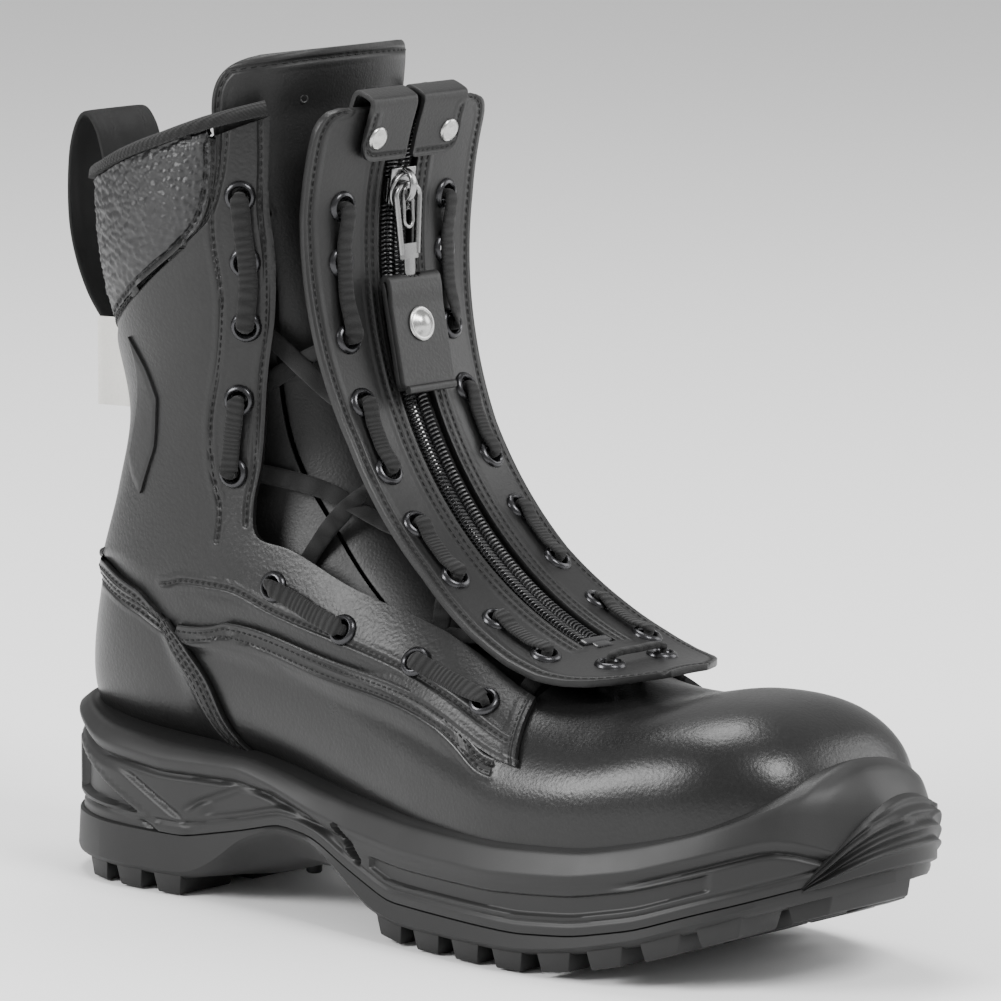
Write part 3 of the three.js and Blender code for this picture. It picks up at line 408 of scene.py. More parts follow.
# ---------------------------------------------------------------- materials
class Wire:
    """A socket's value in a shader expression."""

    def __init__(self, sheet: "Shader", socket: bpy.types.NodeSocket) -> None:
        """Wrap an output socket."""
        self.sheet, self.socket = sheet, socket

    def _math(self, kind: str, a: object, b: object = 0.0) -> "Wire":
        """A Math node on two values."""
        return self.sheet.node("ShaderNodeMath", {"operation": kind}, {0: a, 1: b})

    def __add__(self, other: object) -> "Wire":
        """Sum."""
        return self._math("ADD", self, other)

    def __radd__(self, other: object) -> "Wire":
        """Sum, reflected."""
        return self._math("ADD", other, self)

    def __sub__(self, other: object) -> "Wire":
        """Difference."""
        return self._math("SUBTRACT", self, other)

    def __rsub__(self, other: object) -> "Wire":
        """Difference, reflected."""
        return self._math("SUBTRACT", other, self)

    def __mul__(self, other: object) -> "Wire":
        """Product."""
        return self._math("MULTIPLY", self, other)

    def __rmul__(self, other: object) -> "Wire":
        """Product, reflected."""
        return self._math("MULTIPLY", other, self)

    def __truediv__(self, other: object) -> "Wire":
        """Quotient."""
        return self._math("DIVIDE", self, other)

    def __pow__(self, other: object) -> "Wire":
        """Power."""
        return self._math("POWER", self, other)

    def sin(self) -> "Wire":
        """Sine."""
        return self._math("SINE", self)

    def clamp(self) -> "Wire":
        """Kept between zero and one."""
        return self.sheet.node("ShaderNodeClamp", {}, {0: self})

    def step(self, low: float, high: float) -> "Wire":
        """Smooth step from low to high."""
        node = {"interpolation_type": "SMOOTHSTEP", "clamp": True}
        return self.sheet.node("ShaderNodeMapRange", node, {0: self, 1: low, 2: high, 3: 0.0, 4: 1.0})


class Shader:
    """A material being put together."""

    def __init__(self, name: str) -> None:
        """Start a material with a Principled shader."""
        self.material = bpy.data.materials.new(name)
        self.material.use_nodes = True
        self.tree = self.material.node_tree
        self.surface = self.tree.nodes["Principled BSDF"]

    def node(self, kind: str, settings: dict, values: dict, output: object = 0) -> Wire:
        """Make any node.

        Args:
            kind: the node's type.
            settings: properties, set first.
            values: numbers, colours or wires for its sockets.
            output: which output is wanted.

        Returns:
            That output.
        """
        made = self.tree.nodes.new(kind)
        for key, value in settings.items():
            setattr(made, key, value)
        for key, value in values.items():
            self.feed(made.inputs[key], value)
        return Wire(self, made.outputs[output])

    def feed(self, socket: bpy.types.NodeSocket, value: object) -> None:
        """Link or set a socket."""
        if isinstance(value, Wire):
            self.tree.links.new(value.socket, socket)
        else:
            socket.default_value = value

    def place(self) -> Wire:
        """Object coordinates, in metres."""
        return self.node("ShaderNodeTexCoord", {}, {}, "Object")

    def uv(self) -> Wire:
        """The piece's own map."""
        return self.node("ShaderNodeTexCoord", {}, {}, "UV")

    def scaled(self, vector: Wire, scale: Sequence[float]) -> Wire:
        """Coordinates stretched along each axis."""
        return self.node("ShaderNodeMapping", {}, {"Vector": vector, "Scale": scale})

    def parts(self, vector: Wire) -> tuple[Wire, Wire, Wire]:
        """The three numbers of a vector."""
        first = self.node("ShaderNodeSeparateXYZ", {}, {0: vector})
        outs = first.socket.node.outputs
        return tuple(Wire(self, outs[k]) for k in range(3))

    def noise(self, vector: Wire, scale: float, detail: float = 3.0, rough: float = 0.55) -> Wire:
        """Fractal noise between zero and one."""
        values = {"Vector": vector, "Scale": scale, "Detail": detail, "Roughness": rough}
        return self.node("ShaderNodeTexNoise", {}, values)

    def cells(self, vector: Wire, scale: float, feature: str = "F1", random: float = 1.0) -> Wire:
        """Distance in a field of cells."""
        values = {"Vector": vector, "Scale": scale, "Randomness": random}
        return self.node("ShaderNodeTexVoronoi", {"feature": feature}, values, "Distance")

    def seam(self) -> Wire:
        """Distance from the nearest stitched line, in millimetres."""
        return self.node("ShaderNodeAttribute", {"attribute_name": "seam"}, {}, "Fac")

    def mix(self, share: object, a: Sequence[float], b: Sequence[float]) -> Wire:
        """A mix of two colours or wires."""
        node = self.tree.nodes.new("ShaderNodeMix")
        node.data_type = "RGBA"
        self.feed(node.inputs[0], share)
        self.feed(node.inputs[6], a)
        self.feed(node.inputs[7], b)
        return Wire(self, node.outputs[2])

    def bump(self, height: Wire, distance: float, strength: float = 1.0) -> None:
        """Feed the Normal from a height; distance in millimetres for a height of one."""
        values = {"Height": height, "Distance": distance * MM, "Strength": strength}
        self.feed(self.surface.inputs["Normal"], self.node("ShaderNodeBump", {}, values))

    def set(self, **values: object) -> None:
        """Set or feed the surface's sockets; underscores stand for spaces."""
        for key, value in values.items():
            self.feed(self.surface.inputs[key.replace("_", " ")], value)


def grey(value: float, tint: float = 0.0) -> tuple[float, float, float, float]:
    """A grey colour, a little bluer by the tint."""
    return value, value, value + tint, 1


class Finish:
    """Base of every finish: a material made once, and a slot name."""

    slot = "leather"
    shelf: dict = {}

    def material(self) -> bpy.types.Material:
        """The material, made at first use."""
        if self not in Finish.shelf:
            kind = type(self).__name__.lower()
            count = sum(isinstance(made, type(self)) for made in Finish.shelf)
            sheet = Shader(f"{kind}_{count}")
            self.build(sheet)
            Finish.shelf[self] = sheet.material
        return Finish.shelf[self]

    def build(self, s: Shader) -> None:
        """Lay out the nodes."""
        raise NotImplementedError


@dataclass(frozen=True)
class Leather(Finish):
    """Waxed full-grain leather with a fine pebble and pressed seams, with painted shade darkening the colour
    along the seams.
    """

    slot: str = "leather"
    tone: float = 0.0075
    rough: float = 0.37
    pebble: float = 0.11
    cell: float = 950.0

    def build(self, s: Shader) -> None:
        """Lay out the nodes."""
        p = s.place()
        drift = s.noise(p, 34, 4)
        fine = s.noise(p, 2600, 2)
        warp = s.node("ShaderNodeVectorMath", {"operation": "MULTIPLY_ADD"},
                      {0: s.node("ShaderNodeTexNoise", {}, {"Vector": p, "Scale": 420.0}, "Color"),
                       1: (0.0009,) * 3, 2: p})
        cell = s.cells(warp, self.cell, "SMOOTH_F1")
        crease = s.cells(warp, self.cell * 0.42, "DISTANCE_TO_EDGE").step(0.0, 0.16)
        seam = s.seam()
        # Mask along the stitched lines: a real pressed groove in the bump and roughness, and painted shade
        # in the colour.
        groove_and_shade = 1 - seam.step(0.15, 1.1)
        puff = seam.step(0.6, 1.5) * (1 - seam.step(1.5, 3.2))
        grain = (1 - cell) * 0.8 + fine * 0.4 + crease * 0.03
        height = grain * self.pebble + puff * 0.16 - groove_and_shade * 0.42 + drift * 0.25
        s.bump(height, 1.0)
        dust = (drift - 0.5) * 0.9
        # The colour darkens along the stitched seams: painted shade in the pressed groove. The cell and dust
        # terms are the leather's own grain and tone.
        shade = s.mix((cell * 0.7 + dust * 0.5 + groove_and_shade * 0.3).clamp(), grey(self.tone * 1.25),
                      grey(self.tone * 0.55))
        rough = self.rough + dust * 0.14 + (1 - crease) * 0.03 + groove_and_shade * 0.2
        s.set(Base_Color=shade, Roughness=rough.clamp(), Specular_IOR_Level=0.36)


@dataclass(frozen=True)
class Tumbled(Finish):
    """Coarse tumbled leather, with painted shade darkening the colour along its seams."""

    slot: str = "grain"

    def build(self, s: Shader) -> None:
        """Lay out the nodes."""
        p = s.place()
        fine = s.noise(p, 2100, 2)
        drift = s.noise(p, 60, 3)
        seam = s.seam()
        # Mask along the stitched lines: a real pressed groove in the bump and roughness, and painted shade
        # in the colour.
        groove_and_shade = 1 - seam.step(0.15, 1.0)
        s.bump(fine * 0.05 - groove_and_shade * 0.4, 1.0)
        # The colour darkens along the stitched seams: painted shade in the pressed groove. The drift term is
        # the leather's own uneven tone.
        shade = s.mix((drift * 0.8 + groove_and_shade * 0.4).clamp(), grey(0.009, 0.0005), grey(0.004, 0.0005))
        s.set(Base_Color=shade, Roughness=(0.36 + drift * 0.16 + groove_and_shade * 0.2).clamp())


@dataclass(frozen=True)
class Cloth(Finish):
    """Woven textile, from a knitted lining to coarse webbing."""

    slot: str = "textile"
    tone: float = 0.012
    thread: float = 1500.0
    relief: float = 0.16
    mapped: bool = False
    along: float = 1.0

    def build(self, s: Shader) -> None:
        """Lay out the nodes."""
        if self.mapped:
            u, v, _ = s.parts(s.uv())
            a, b = u * self.thread, v * (self.thread * self.along)
            rib = ((a + b).sin() * 0.5 + 0.5) * ((a - b).sin() * 0.5 + 0.5)
            weave = rib**0.5
        else:
            x, y, z = s.parts(s.place())
            k = self.thread * math.pi
            weave = ((x * k + z * k).sin() * (y * k - z * k).sin()) * 0.5 + 0.5
        fuzz = s.noise(s.place(), 3200, 3)
        s.bump(weave * self.relief + fuzz * self.relief * 0.7, 1.0)
        shade = s.mix((weave * 0.6 + fuzz * 0.5).clamp(), grey(self.tone * 0.45), grey(self.tone * 1.6))
        s.set(Base_Color=shade, Roughness=0.92, Specular_IOR_Level=0.25)
        s.set(Sheen_Weight=0.06, Sheen_Roughness=0.5)


@dataclass(frozen=True)
class Rubber(Finish):
    """Moulded rubber or foamed sole with a satin skin."""

    slot: str = "rubber"
    tone: float = 0.022
    rough: float = 0.5
    texture: float = 0.03

    def build(self, s: Shader) -> None:
        """Lay out the nodes."""
        p = s.place()
        fine = s.noise(p, 1900, 3)
        drift = s.noise(p, 45, 4)
        s.bump(fine * self.texture + drift * 0.12, 1.0)
        shade = s.mix((drift * 1.2 - 0.1).clamp(), grey(self.tone * 0.8), grey(self.tone * 1.25))
        s.set(Base_Color=shade, Roughness=(self.rough - 0.07 + drift * 0.16).clamp(),
              Specular_IOR_Level=0.34)


@dataclass(frozen=True)
class Metal(Finish):
    """Plated or lacquered metal with fine handling marks."""

    slot: str = "steel"
    tone: tuple[float, float, float] = (0.52, 0.52, 0.51)
    rough: float = 0.26
    metallic: float = 1.0

    def build(self, s: Shader) -> None:
        """Lay out the nodes."""
        p = s.place()
        fine = s.noise(p, 1500, 4)
        marks = s.noise(s.scaled(p, (300, 2600, 300)), 1.0, 3)
        s.bump(fine * 0.012 + marks * 0.006, 1.0)
        dark = tuple(c * 0.72 for c in self.tone)
        s.set(Base_Color=s.mix(fine, dark + (1,), self.tone + (1,)),
              Roughness=(self.rough - 0.05 + marks * 0.14).clamp(), Metallic=self.metallic)


@dataclass(frozen=True)
class Plain(Finish):
    """Moulded or pressed stock for what sits inside, with a faint speckle."""

    slot: str = "plate"
    tone: tuple[float, float, float] = (0.45, 0.42, 0.34)
    rough: float = 0.7
    speck: float = 900.0

    def build(self, s: Shader) -> None:
        """Lay out the nodes."""
        p = s.place()
        fine = s.noise(p, self.speck, 3)
        s.bump(fine * 0.08, 1.0)
        low = tuple(c * 0.8 for c in self.tone)
        rough = self.rough - 0.05 + fine * 0.1
        s.set(Base_Color=s.mix(fine, low + (1,), self.tone + (1,)), Roughness=rough.clamp())


UPPER = Leather()
SOFT = Leather("soft_leather", 0.0075, 0.46, 0.07, 1300.0)
TAB = Leather("leather", 0.011, 0.5, 0.08, 1500.0)
GRAIN = Tumbled()
LINING = Cloth()
FELT = Cloth("textile", 0.009, 900.0, 0.3)
TAPE = Cloth("textile", 0.008, 1000.0, 0.22)
THREAD = Cloth("leather", 0.011, 2600.0, 0.08)
TREAD = Rubber("rubber", 0.009, 0.52, 0.03)
MIDSOLE = Rubber("polyurethane", 0.011, 0.46, 0.02)
NICKEL = Metal()
GUNMETAL = Metal("steel", (0.3, 0.3, 0.3), 0.24)
LACQUER = Metal("black_metal", (0.055, 0.055, 0.058), 0.25, 0.9)
NYLON = Metal("coil", (0.016, 0.016, 0.017), 0.24, 0.0)
PAPER = Plain("tag", (0.72, 0.71, 0.67), 0.8, 1600.0)


def dress(obj: bpy.types.Object, finish: Finish, body: str = BODY, nodes: Sequence[str] = (),
          angle: float = 38.0) -> bpy.types.Object:
    """Give a piece its finish, its body and the nodes it stands for.

    Args:
        obj: the piece.
        finish: its finish.
        body: the body it rides on.
        nodes: the frame nodes that it replaces.
        angle: edges sharper than this stay sharp.

    Returns:
        The piece.
    """
    deselect()
    obj.select_set(True)
    bpy.context.view_layer.objects.active = obj
    bpy.ops.object.shade_smooth_by_angle(angle=math.radians(angle))
    obj.data.materials.clear()
    obj.data.materials.append(finish.material())
    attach(obj, body)
    if nodes:
        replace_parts(obj, *nodes)
    if "seam" not in obj.data.attributes:
        layer = obj.data.attributes.new("seam", "FLOAT", "POINT")
        layer.data.foreach_set("value", np.full(len(obj.data.vertices), 50, np.float32))
    obj.data.calc_loop_triangles()
    LOG.info("%s: %d triangles on %s", obj.name, len(obj.data.loop_triangles), body)
    return obj


# ---------------------------------------------------------------- stitching
class Edge(Enum):
    """Edges of a grid of points."""

    FIRST_ROW = "first_row"
    LAST_ROW = "last_row"
    FIRST_COLUMN = "first_column"
    LAST_COLUMN = "last_column"


def inset(points: Array, edge: Edge, distance: float) -> Array:
    """A line that runs inside an edge of a grid.

    Args:
        points: rows by columns of places.
        edge: the edge that it follows.
        distance: how far inside it, in millimetres.

    Returns:
        The line's points.
    """
    p = points if edge in (Edge.FIRST_COLUMN, Edge.LAST_COLUMN) else np.swapaxes(points, 0, 1)
    if edge in (Edge.LAST_COLUMN, Edge.LAST_ROW):
        p = p[:, ::-1]
    line = []
    for row in p:
        d = np.r_[0, np.cumsum(np.linalg.norm(np.diff(row, axis=0), axis=1))]
        line.append([np.interp(distance, d, row[:, k]) for k in range(3)])
    return np.array(line)


@dataclass
class Stitching:
    """Rows of thread laid in pressed seams."""

    pitch: float = 2.35
    radius: float = 0.33
    share: float = 0.74

    def sew(self, obj: bpy.types.Object, lines: Sequence[Array]) -> bpy.types.Object:
        """Mark an object's seams and lay the stitches on it.

        Args:
            obj: the leather piece.
            lines: places along each row, near the piece's face.

        Returns:
            The thread.
        """
        face = Seat(obj)
        rows, spots, normals, ways = [], [], [], []
        for line in lines:
            seat, normal = face.nearest(resample(np.asarray(line, float), self.pitch))
            rows.append(seat)
            spots.append((seat[1:] + seat[:-1]) / 2)
            ways.append(unit(seat[1:] - seat[:-1]))
            normals.append(unit(normal[1:] + normal[:-1]))
        mark_seams(obj, rows)
        thread = self.thread(f"{obj.name}_thread", np.concatenate(spots), np.concatenate(ways),
                             np.concatenate(normals))
        return dress(thread, THREAD, angle=80)

    def thread(self, name: str, spots: Array, ways: Array, normals: Array) -> bpy.types.Object:
        """Copies of one modelled stitch.

        Args:
            name: the object's name.
            spots: the stitches' middles.
            ways: the directions they run in.
            normals: the face's normals under them.

        Returns:
            All of the stitches as one object.
        """
        deselect()
        bpy.ops.mesh.primitive_uv_sphere_add(segments=6, ring_count=5, radius=1)
        obj = bpy.context.object
        obj.name = obj.data.name = name
        co = np.array([v.co[:] for v in obj.data.vertices])
        faces = [list(p.vertices) for p in obj.data.polygons]
        co = np.sign(co) * np.abs(co) ** [1, 1, 0.6]
        across = unit(np.cross(normals, ways))
        up = np.cross(ways, across)
        seat = spots - up * 0.02
        half = self.pitch * self.share / 2
        every = (seat[:, None] + co[None, :, 2:] * half * ways[:, None]
                 + co[None, :, :1] * self.radius * across[:, None]
                 + co[None, :, 1:2] * self.radius * 0.8 * up[:, None])
        base = (np.arange(len(spots)) * len(co))[:, None]
        mesh = bpy.data.meshes.new(name)
        polygons = [[i + int(b[0]) for i in f] for b in base for f in faces]
        mesh.from_pydata(world(every.reshape(-1, 3)).tolist(), [], polygons)
        obj.data = mesh
        edit(obj, lambda: bpy.ops.mesh.normals_make_consistent(inside=False))
        return obj


SEAM = Stitching()


def weld(name: str, parts: Sequence[bpy.types.Object], merge: float = 0.0) -> bpy.types.Object:
    """Join objects into one.

    Args:
        name: the name of the result.
        parts: the objects.
        merge: distance in metres within which points are merged, or zero.

    Returns:
        The joined object.
    """
    deselect()
    for part in parts:
        part.select_set(True)
    bpy.context.view_layer.objects.active = parts[0]
    if len(parts) > 1:
        bpy.ops.object.join()
    obj = parts[0]
    obj.name = obj.data.name = name
    if merge:
        edit(obj, lambda: bpy.ops.mesh.remove_doubles(threshold=merge))
    return obj


def turned(name: str, profile: Sequence[Sequence[float]], origin: Array, axis: Array, sides: int = 28,
           loop: bool = False) -> bpy.types.Object:
    """A round piece turned from a profile of (radius, height) pairs.

    Args:
        name: the object's name.
        profile: pairs along the outline.
        origin: the foot of its axis.
        axis: the way the axis points.
        sides: count round it.
        loop: whether the profile closes on itself.

    Returns:
        The new object.
    """
    z = unit(np.asarray(axis, float))
    y = unit(np.cross(z, [1, 0, 0.001]))
    x = np.cross(y, z)
    a = np.linspace(0, 2 * np.pi, sides, endpoint=False)
    rows = [origin + r * (np.cos(a)[:, None] * x + np.sin(a)[:, None] * y) + h * z for r, h in profile]
    return tube(name, np.array(rows), caps=not loop, loop=loop)


def block(name: str, place: Callable[[Array, Array, Array], Array], box: Sequence[float], bevel: float = 0.3,
          cuts: int = 0) -> bpy.types.Object:
    """A rounded box bent through a mapping.

    Args:
        name: the object's name.
        place: maps three box coordinates to model millimetres.
        box: low and high of each coordinate, six numbers.
        bevel: radius of the edges, in millimetres.
        cuts: extra cuts along each edge.

    Returns:
        The new object.
    """
    deselect()
    bpy.ops.mesh.primitive_cube_add(size=1)
    obj = bpy.context.object
    obj.name = obj.data.name = name
    if cuts:
        edit(obj, lambda: bpy.ops.mesh.subdivide(number_cuts=cuts))
    co = np.array([v.co[:] for v in obj.data.vertices]) + 0.5
    low, high = np.array(box[::2]), np.array(box[1::2])
    p = low + co * (high - low)
    obj.data.vertices.foreach_set("co", world(place(p[:, 0], p[:, 1], p[:, 2])).ravel())
    obj.data.update()
    edit(obj, lambda: bpy.ops.mesh.normals_make_consistent(inside=False))
    modify(obj, "BEVEL", width=bevel * MM, segments=2, limit_method="ANGLE", angle_limit=math.radians(40))
    return obj


# ---------------------------------------------------------------- upper
@dataclass
class Upper:
    """Leather upper: vamp, quarters, heel cover, collar, tongue and gussets."""

    leather: float = 1.8
    front_edge: Sequence = (
        (18.8, 43), (18.2, 44.5), (17.6, 46), (17, 47.5), (16.3, 48.6), (15.6, 49.6), (14.7, 50.7),
        (13.85, 52), (13.1, 53.5), (12.5, 57), (12.05, 63), (11.6, 67), (11, 62), (10, 53.5), (8.5, 40),
        (7.05, 35))
    back_edge: Sequence = (
        (18.6, 66), (17.7, 70), (17.15, 80), (17, 111), (17, 150), (17, 179.4), (15.8, 179.4),
        (14.64, 179.4), (14.43, 150), (13.88, 122), (13, 101.6), (12.08, 97.4), (11.2, 90.5), (9.9, 78),
        (8.3, 65), (6.75, 65))
    cover_side: Sequence = ((10.4, 140), (10.65, 129), (11.12, 109), (11.6, 100.5), (12, 98.5))
    cover_top: Sequence = ((12, 98.5), (12.92, 102), (13.77, 122), (14.33, 150), (14.52, 180))
    cover_foot: Sequence = ((10.4, 140), (11.4, 144), (12.2, 148), (12.8, 160), (13, 180))
    eyelets: Sequence = ((17.4, 58), (16.25, 61), (15.1, 62), (13.9, 62), (12.85, 65), (10.95, 73),
                         (9.8, 65), (8.6, 55.5), (7.5, 50))
    collar: Sequence = ((43, 18.92), (70, 18.82), (90, 18.72), (120, 18.6), (150, 18.6), (180, 18.6))

    def seam_angle(self, t: float) -> float:
        """Angle of the seam between vamp and quarter at a station."""
        u = np.linspace(11, 14.6, 400)
        row = spline(self.back_edge, u)
        return float(np.interp(t, row[::-1, 0], row[::-1, 1])) + 0.9

    def quarter(self, side: int, word: str) -> bpy.types.Object:
        """One quarter with its facing, holes and seams."""
        u = np.linspace(0, 15, 190)[:, None]
        v = np.linspace(-0.07, 1, 54)[None]
        a = spline(self.back_edge, u[:, 0])[:, None]
        b = spline(self.front_edge, u[:, 0])[:, None]
        at = a + (b - a) * v[..., None]
        deg = np.minimum(at[..., 1], 179.2)
        depth = np.maximum(1.6 * smooth(0, 0.3, np.maximum(v, 0)), 2.3 * smooth(13.2, 14.2, u))
        depth = depth - 0.6 * (1 - smooth(-0.04, 0.03, v)) * (u > 4)
        depth = depth + 0.9 * smooth(0, 1.2, 5.6 - u) * (1 - smooth(0.0, 0.1, v))
        points = FORM.skin(at[..., 0], side * deg, depth)
        out = FORM.out(at[..., 0], side * deg)
        obj = grid(f"quarter_{word}_leather", points, out)
        holes = np.array([FORM.skin(t, side * d, 1.6 if t > 8.9 else 2.3) for t, d in self.eyelets])
        cut_holes(obj, holes, 3.3)
        thicken(obj, self.leather, 0.55)
        rows = [inset(points, Edge.LAST_COLUMN, 3.0)[:132], inset(points, Edge.LAST_ROW, 2.6)]
        back = inset(points[:74], Edge.FIRST_COLUMN, 4.0)
        rows += [back, inset(points[:74], Edge.FIRST_COLUMN, 6.6)]
        low = np.array(((12.61, 97), (11.62, 87), (10.83, 83), (9.84, 73), (8.72, 64.5), (7.68, 61.5),
                        (6.95, 62)))
        low = spline(low, np.linspace(0, 6, 60))
        stay = spline(((18.55, 65.5), (16.76, 72), (14.34, 73), (12.73, 71), (12.19, 76)),
                      np.linspace(0, 4, 60))
        rows.append(FORM.skin(stay[:, 0], side * stay[:, 1], 1.7))
        rows.append(FORM.skin(low[:, 0], side * (low[:, 1] - 4.5), 1.9))
        SEAM.sew(obj, rows)
        return dress(obj, UPPER, nodes=[f"quarter_{word}"])

    def vamp(self) -> bpy.types.Object:
        """The vamp with its wings, over the quarters' lower edges."""
        ends = np.array(((10.34, 140), (10.6, 129), (11.05, 110), (11.42, 101.8), (11.62, 96.4)))
        t = np.linspace(0.3, 7.1, 96)[:, None]
        top = blend(64, 66, smooth(4, 7.1, t))
        k = np.linspace(0, 1, 44)[None]
        wing_deg = blend(138, top, k)
        front = blend(-top, top, np.linspace(0, 1, 92)[None])
        deg = np.concatenate([-wing_deg, front[:, 1:-1], wing_deg[:, ::-1]], 1)
        tt = np.broadcast_to(t, deg.shape)
        lift = 0 * deg
        main = FORM.skin(tt, deg, lift)
        obj = grid("vamp_leather", main, FORM.out(tt, deg))
        parts, lines = [obj], []
        f = np.linspace(0, 1.07, 90)[:, None]
        end = spline(ends, k[0] * 4)
        for side in (-1, 1):
            wt = blend(7.1, end[None, :, 0], f)
            straight = blend(blend(138, 66, k), end[None, :, 1], f)
            seam = np.array([self.seam_angle(x) for x in blend(7.1, ends[4, 0], f)[:, 0]])[:, None]
            edge = seam - blend(66, ends[4, 1], f)
            wd = straight + edge * k * smooth(0, 0.12, f)
            raised = smooth(0.8, 0.93, k) * smooth(0, 0.2, f)
            wd = wd - 2.6 * smooth(0.9, 1, k) * smooth(0.02, 0.2, f)
            points = FORM.skin(wt, side * wd, 1.75 * raised)
            parts.append(grid("wing", points, FORM.out(wt, side * wd)))
            lines += [inset(points, Edge.LAST_COLUMN, 2.2), inset(points, Edge.LAST_COLUMN, 4.8)]
        obj = weld("vamp_leather", parts, 2e-5)
        thicken(obj, self.leather, 0.5)
        SEAM.sew(obj, lines)
        return dress(obj, Leather("leather", 0.0065, 0.3, 0.06, 1000.0), nodes=["vamp"])

    def heel(self) -> bpy.types.Object:
        """The heel cover, its edge over the vamp and the quarters."""
        v = np.linspace(0, 1, 74)[:, None]
        j = np.linspace(-1, 1, 150)[None]
        s = np.abs(j)
        foot, top = (spline(q, 4 * (1 - s)) for q in (self.cover_foot, self.cover_top))
        side = spline(self.cover_side, 4 * v)
        mid = np.stack([blend(13, 14.54, v), 180 + 0 * v], -1)
        w = 1 - s[..., None]
        corner = blend(np.array(self.cover_foot[0], float), np.array(self.cover_top[0], float), v[..., None])
        far = blend(np.array([13, 180.0]), np.array([14.54, 180.0]), v[..., None])
        p = blend(foot, top, v[..., None]) + blend(side, mid, w) - blend(corner, far, w)
        rim = np.maximum(smooth(0.86, 0.95, v), smooth(0.86, 0.95, s))
        t = p[..., 0] + 0.11 * smooth(0.4, 1, v)
        deg = p[..., 1] - 2.3 * smooth(0.5, 1, s)
        deg = np.sign(j) * deg
        points = FORM.skin(t, deg, 0.2 + 1.75 * rim + 0.35 * smooth(0.96, 1, s) * smooth(0.5, 0.8, v))
        obj = grid("heel_cover_leather", points, FORM.out(t, deg))
        thicken(obj, self.leather, 0.6)
        lines = []
        for gap in (2.2, 4.8, 7.4):
            lines += [inset(points, Edge.LAST_ROW, gap)[8:-8], inset(points, Edge.FIRST_COLUMN, gap)[:-2],
                      inset(points, Edge.LAST_COLUMN, gap)[:-2]]
        SEAM.sew(obj, lines)
        return dress(obj, Leather("leather", 0.0065, 0.33, 0.07, 950.0), nodes=["heel_cover"])

    def collar_panel(self) -> bpy.types.Object:
        """The padded, tumbled panel round the back, with its vent holes."""
        v = np.linspace(0, 1, 84)[:, None]
        j = np.linspace(-1, 1, 380)[None]
        s = np.abs(j)
        low = spline(self.back_edge, 5 * (1 - s))
        deg = blend(180, 67.2, s)
        low_t, low_deg = low[..., 0] + 0.02, np.minimum(low[..., 1] + 0.4, 180)
        t = blend(low_t, table(self.collar, deg) - 0.07, v)
        turn = np.sign(j) * blend(low_deg, deg, v)
        depth = 0.3 + 2.2 * np.sin(np.pi * np.clip(v, 0.05, 0.95)) ** 0.6
        points = FORM.skin(t, turn, depth)
        out = FORM.out(t, turn)
        obj = grid("collar_panel_padded", points, out)
        texture = bpy.data.textures.new("tumble", "VORONOI")
        texture.noise_scale = 0.0021
        texture.distance_metric = "DISTANCE"
        modify(obj, "DISPLACE", texture=texture, texture_coords="LOCAL", strength=-0.0011, mid_level=0.5)
        modify(obj, "SOLIDIFY", thickness=1.6 * MM, offset=-1.0)
        rim = [inset(points, Edge.FIRST_ROW, 1.6)]
        SEAM.sew(obj, rim)
        dress(obj, GRAIN, nodes=["collar_panel"], angle=60)
        profile = ((1.0, -0.9), (1.0, 0.35), (1.25, 0.6), (1.7, 0.55), (1.95, 0.1), (1.9, -0.9))
        spots = [(t, side * d) for side in (-1, 1) for t, d in ((17.95, 146), (17.72, 158), (17.4, 147))]
        dress(self.vents("collar_vents", obj, spots, 2.6, profile), LACQUER)
        return obj

    def vents(self, name: str, obj: bpy.types.Object, spots: Sequence, depth: float,
              profile: Sequence) -> bpy.types.Object:
        """Small raised rings set on a piece.

        Args:
            name: the name of the rings.
            obj: the piece that they sit on.
            spots: station and angle of each.
            depth: depth of the piece's face.
            profile: the ring's section.

        Returns:
            All of the rings as one object.
        """
        face = Seat(obj)
        rings = []
        for t, deg in spots:
            seat = face.nearest(FORM.skin(t, deg, depth))[0][0]
            rings.append(turned("vent", profile, seat, FORM.out(t, deg), 18, loop=True))
        return weld(name, rings)

    def binding(self) -> bpy.types.Object:
        """The textile binding along the top line."""
        ring = ((-6.8, -0.6), (-6, 1.5), (-2, 2.9), (1.6, 1.9), (2.6, -0.6), (2, -1.1), (-6, -1.1))
        k = spline(ring, np.linspace(0, 7, 28, endpoint=False), closed=True)
        deg = np.linspace(44, 316, 240)
        back = np.where(deg > 180, 360 - deg, deg)
        t = table(self.collar, back)
        rings = FORM.skin(t[:, None], deg[:, None], k[None, :, 0], k[None, :, 1])
        obj = tube("collar_binding_textile", rings)
        return dress(obj, FELT, nodes=["collar_binding"], angle=70)

    def lining(self) -> bpy.types.Object:
        """The knitted lining of the shaft."""
        deg = np.linspace(78, 282, 130)[None]
        back = np.where(deg > 180, 360 - deg, deg)
        top = table(self.collar, back) - 0.12
        t = blend(7.7, top, np.linspace(0, 1, 90)[:, None])
        depth = -5.1 - 0.25 * np.sin(t * 2.4) * np.sin(np.radians(deg) * 9)
        points = FORM.skin(t, deg + 0 * t, depth)
        obj = grid("shaft_lining_knit", points, -FORM.out(t, deg + 0 * t))
        modify(obj, "SOLIDIFY", thickness=1.0 * MM, offset=1.0)
        return dress(obj, LINING, nodes=["shaft_lining"], angle=60)

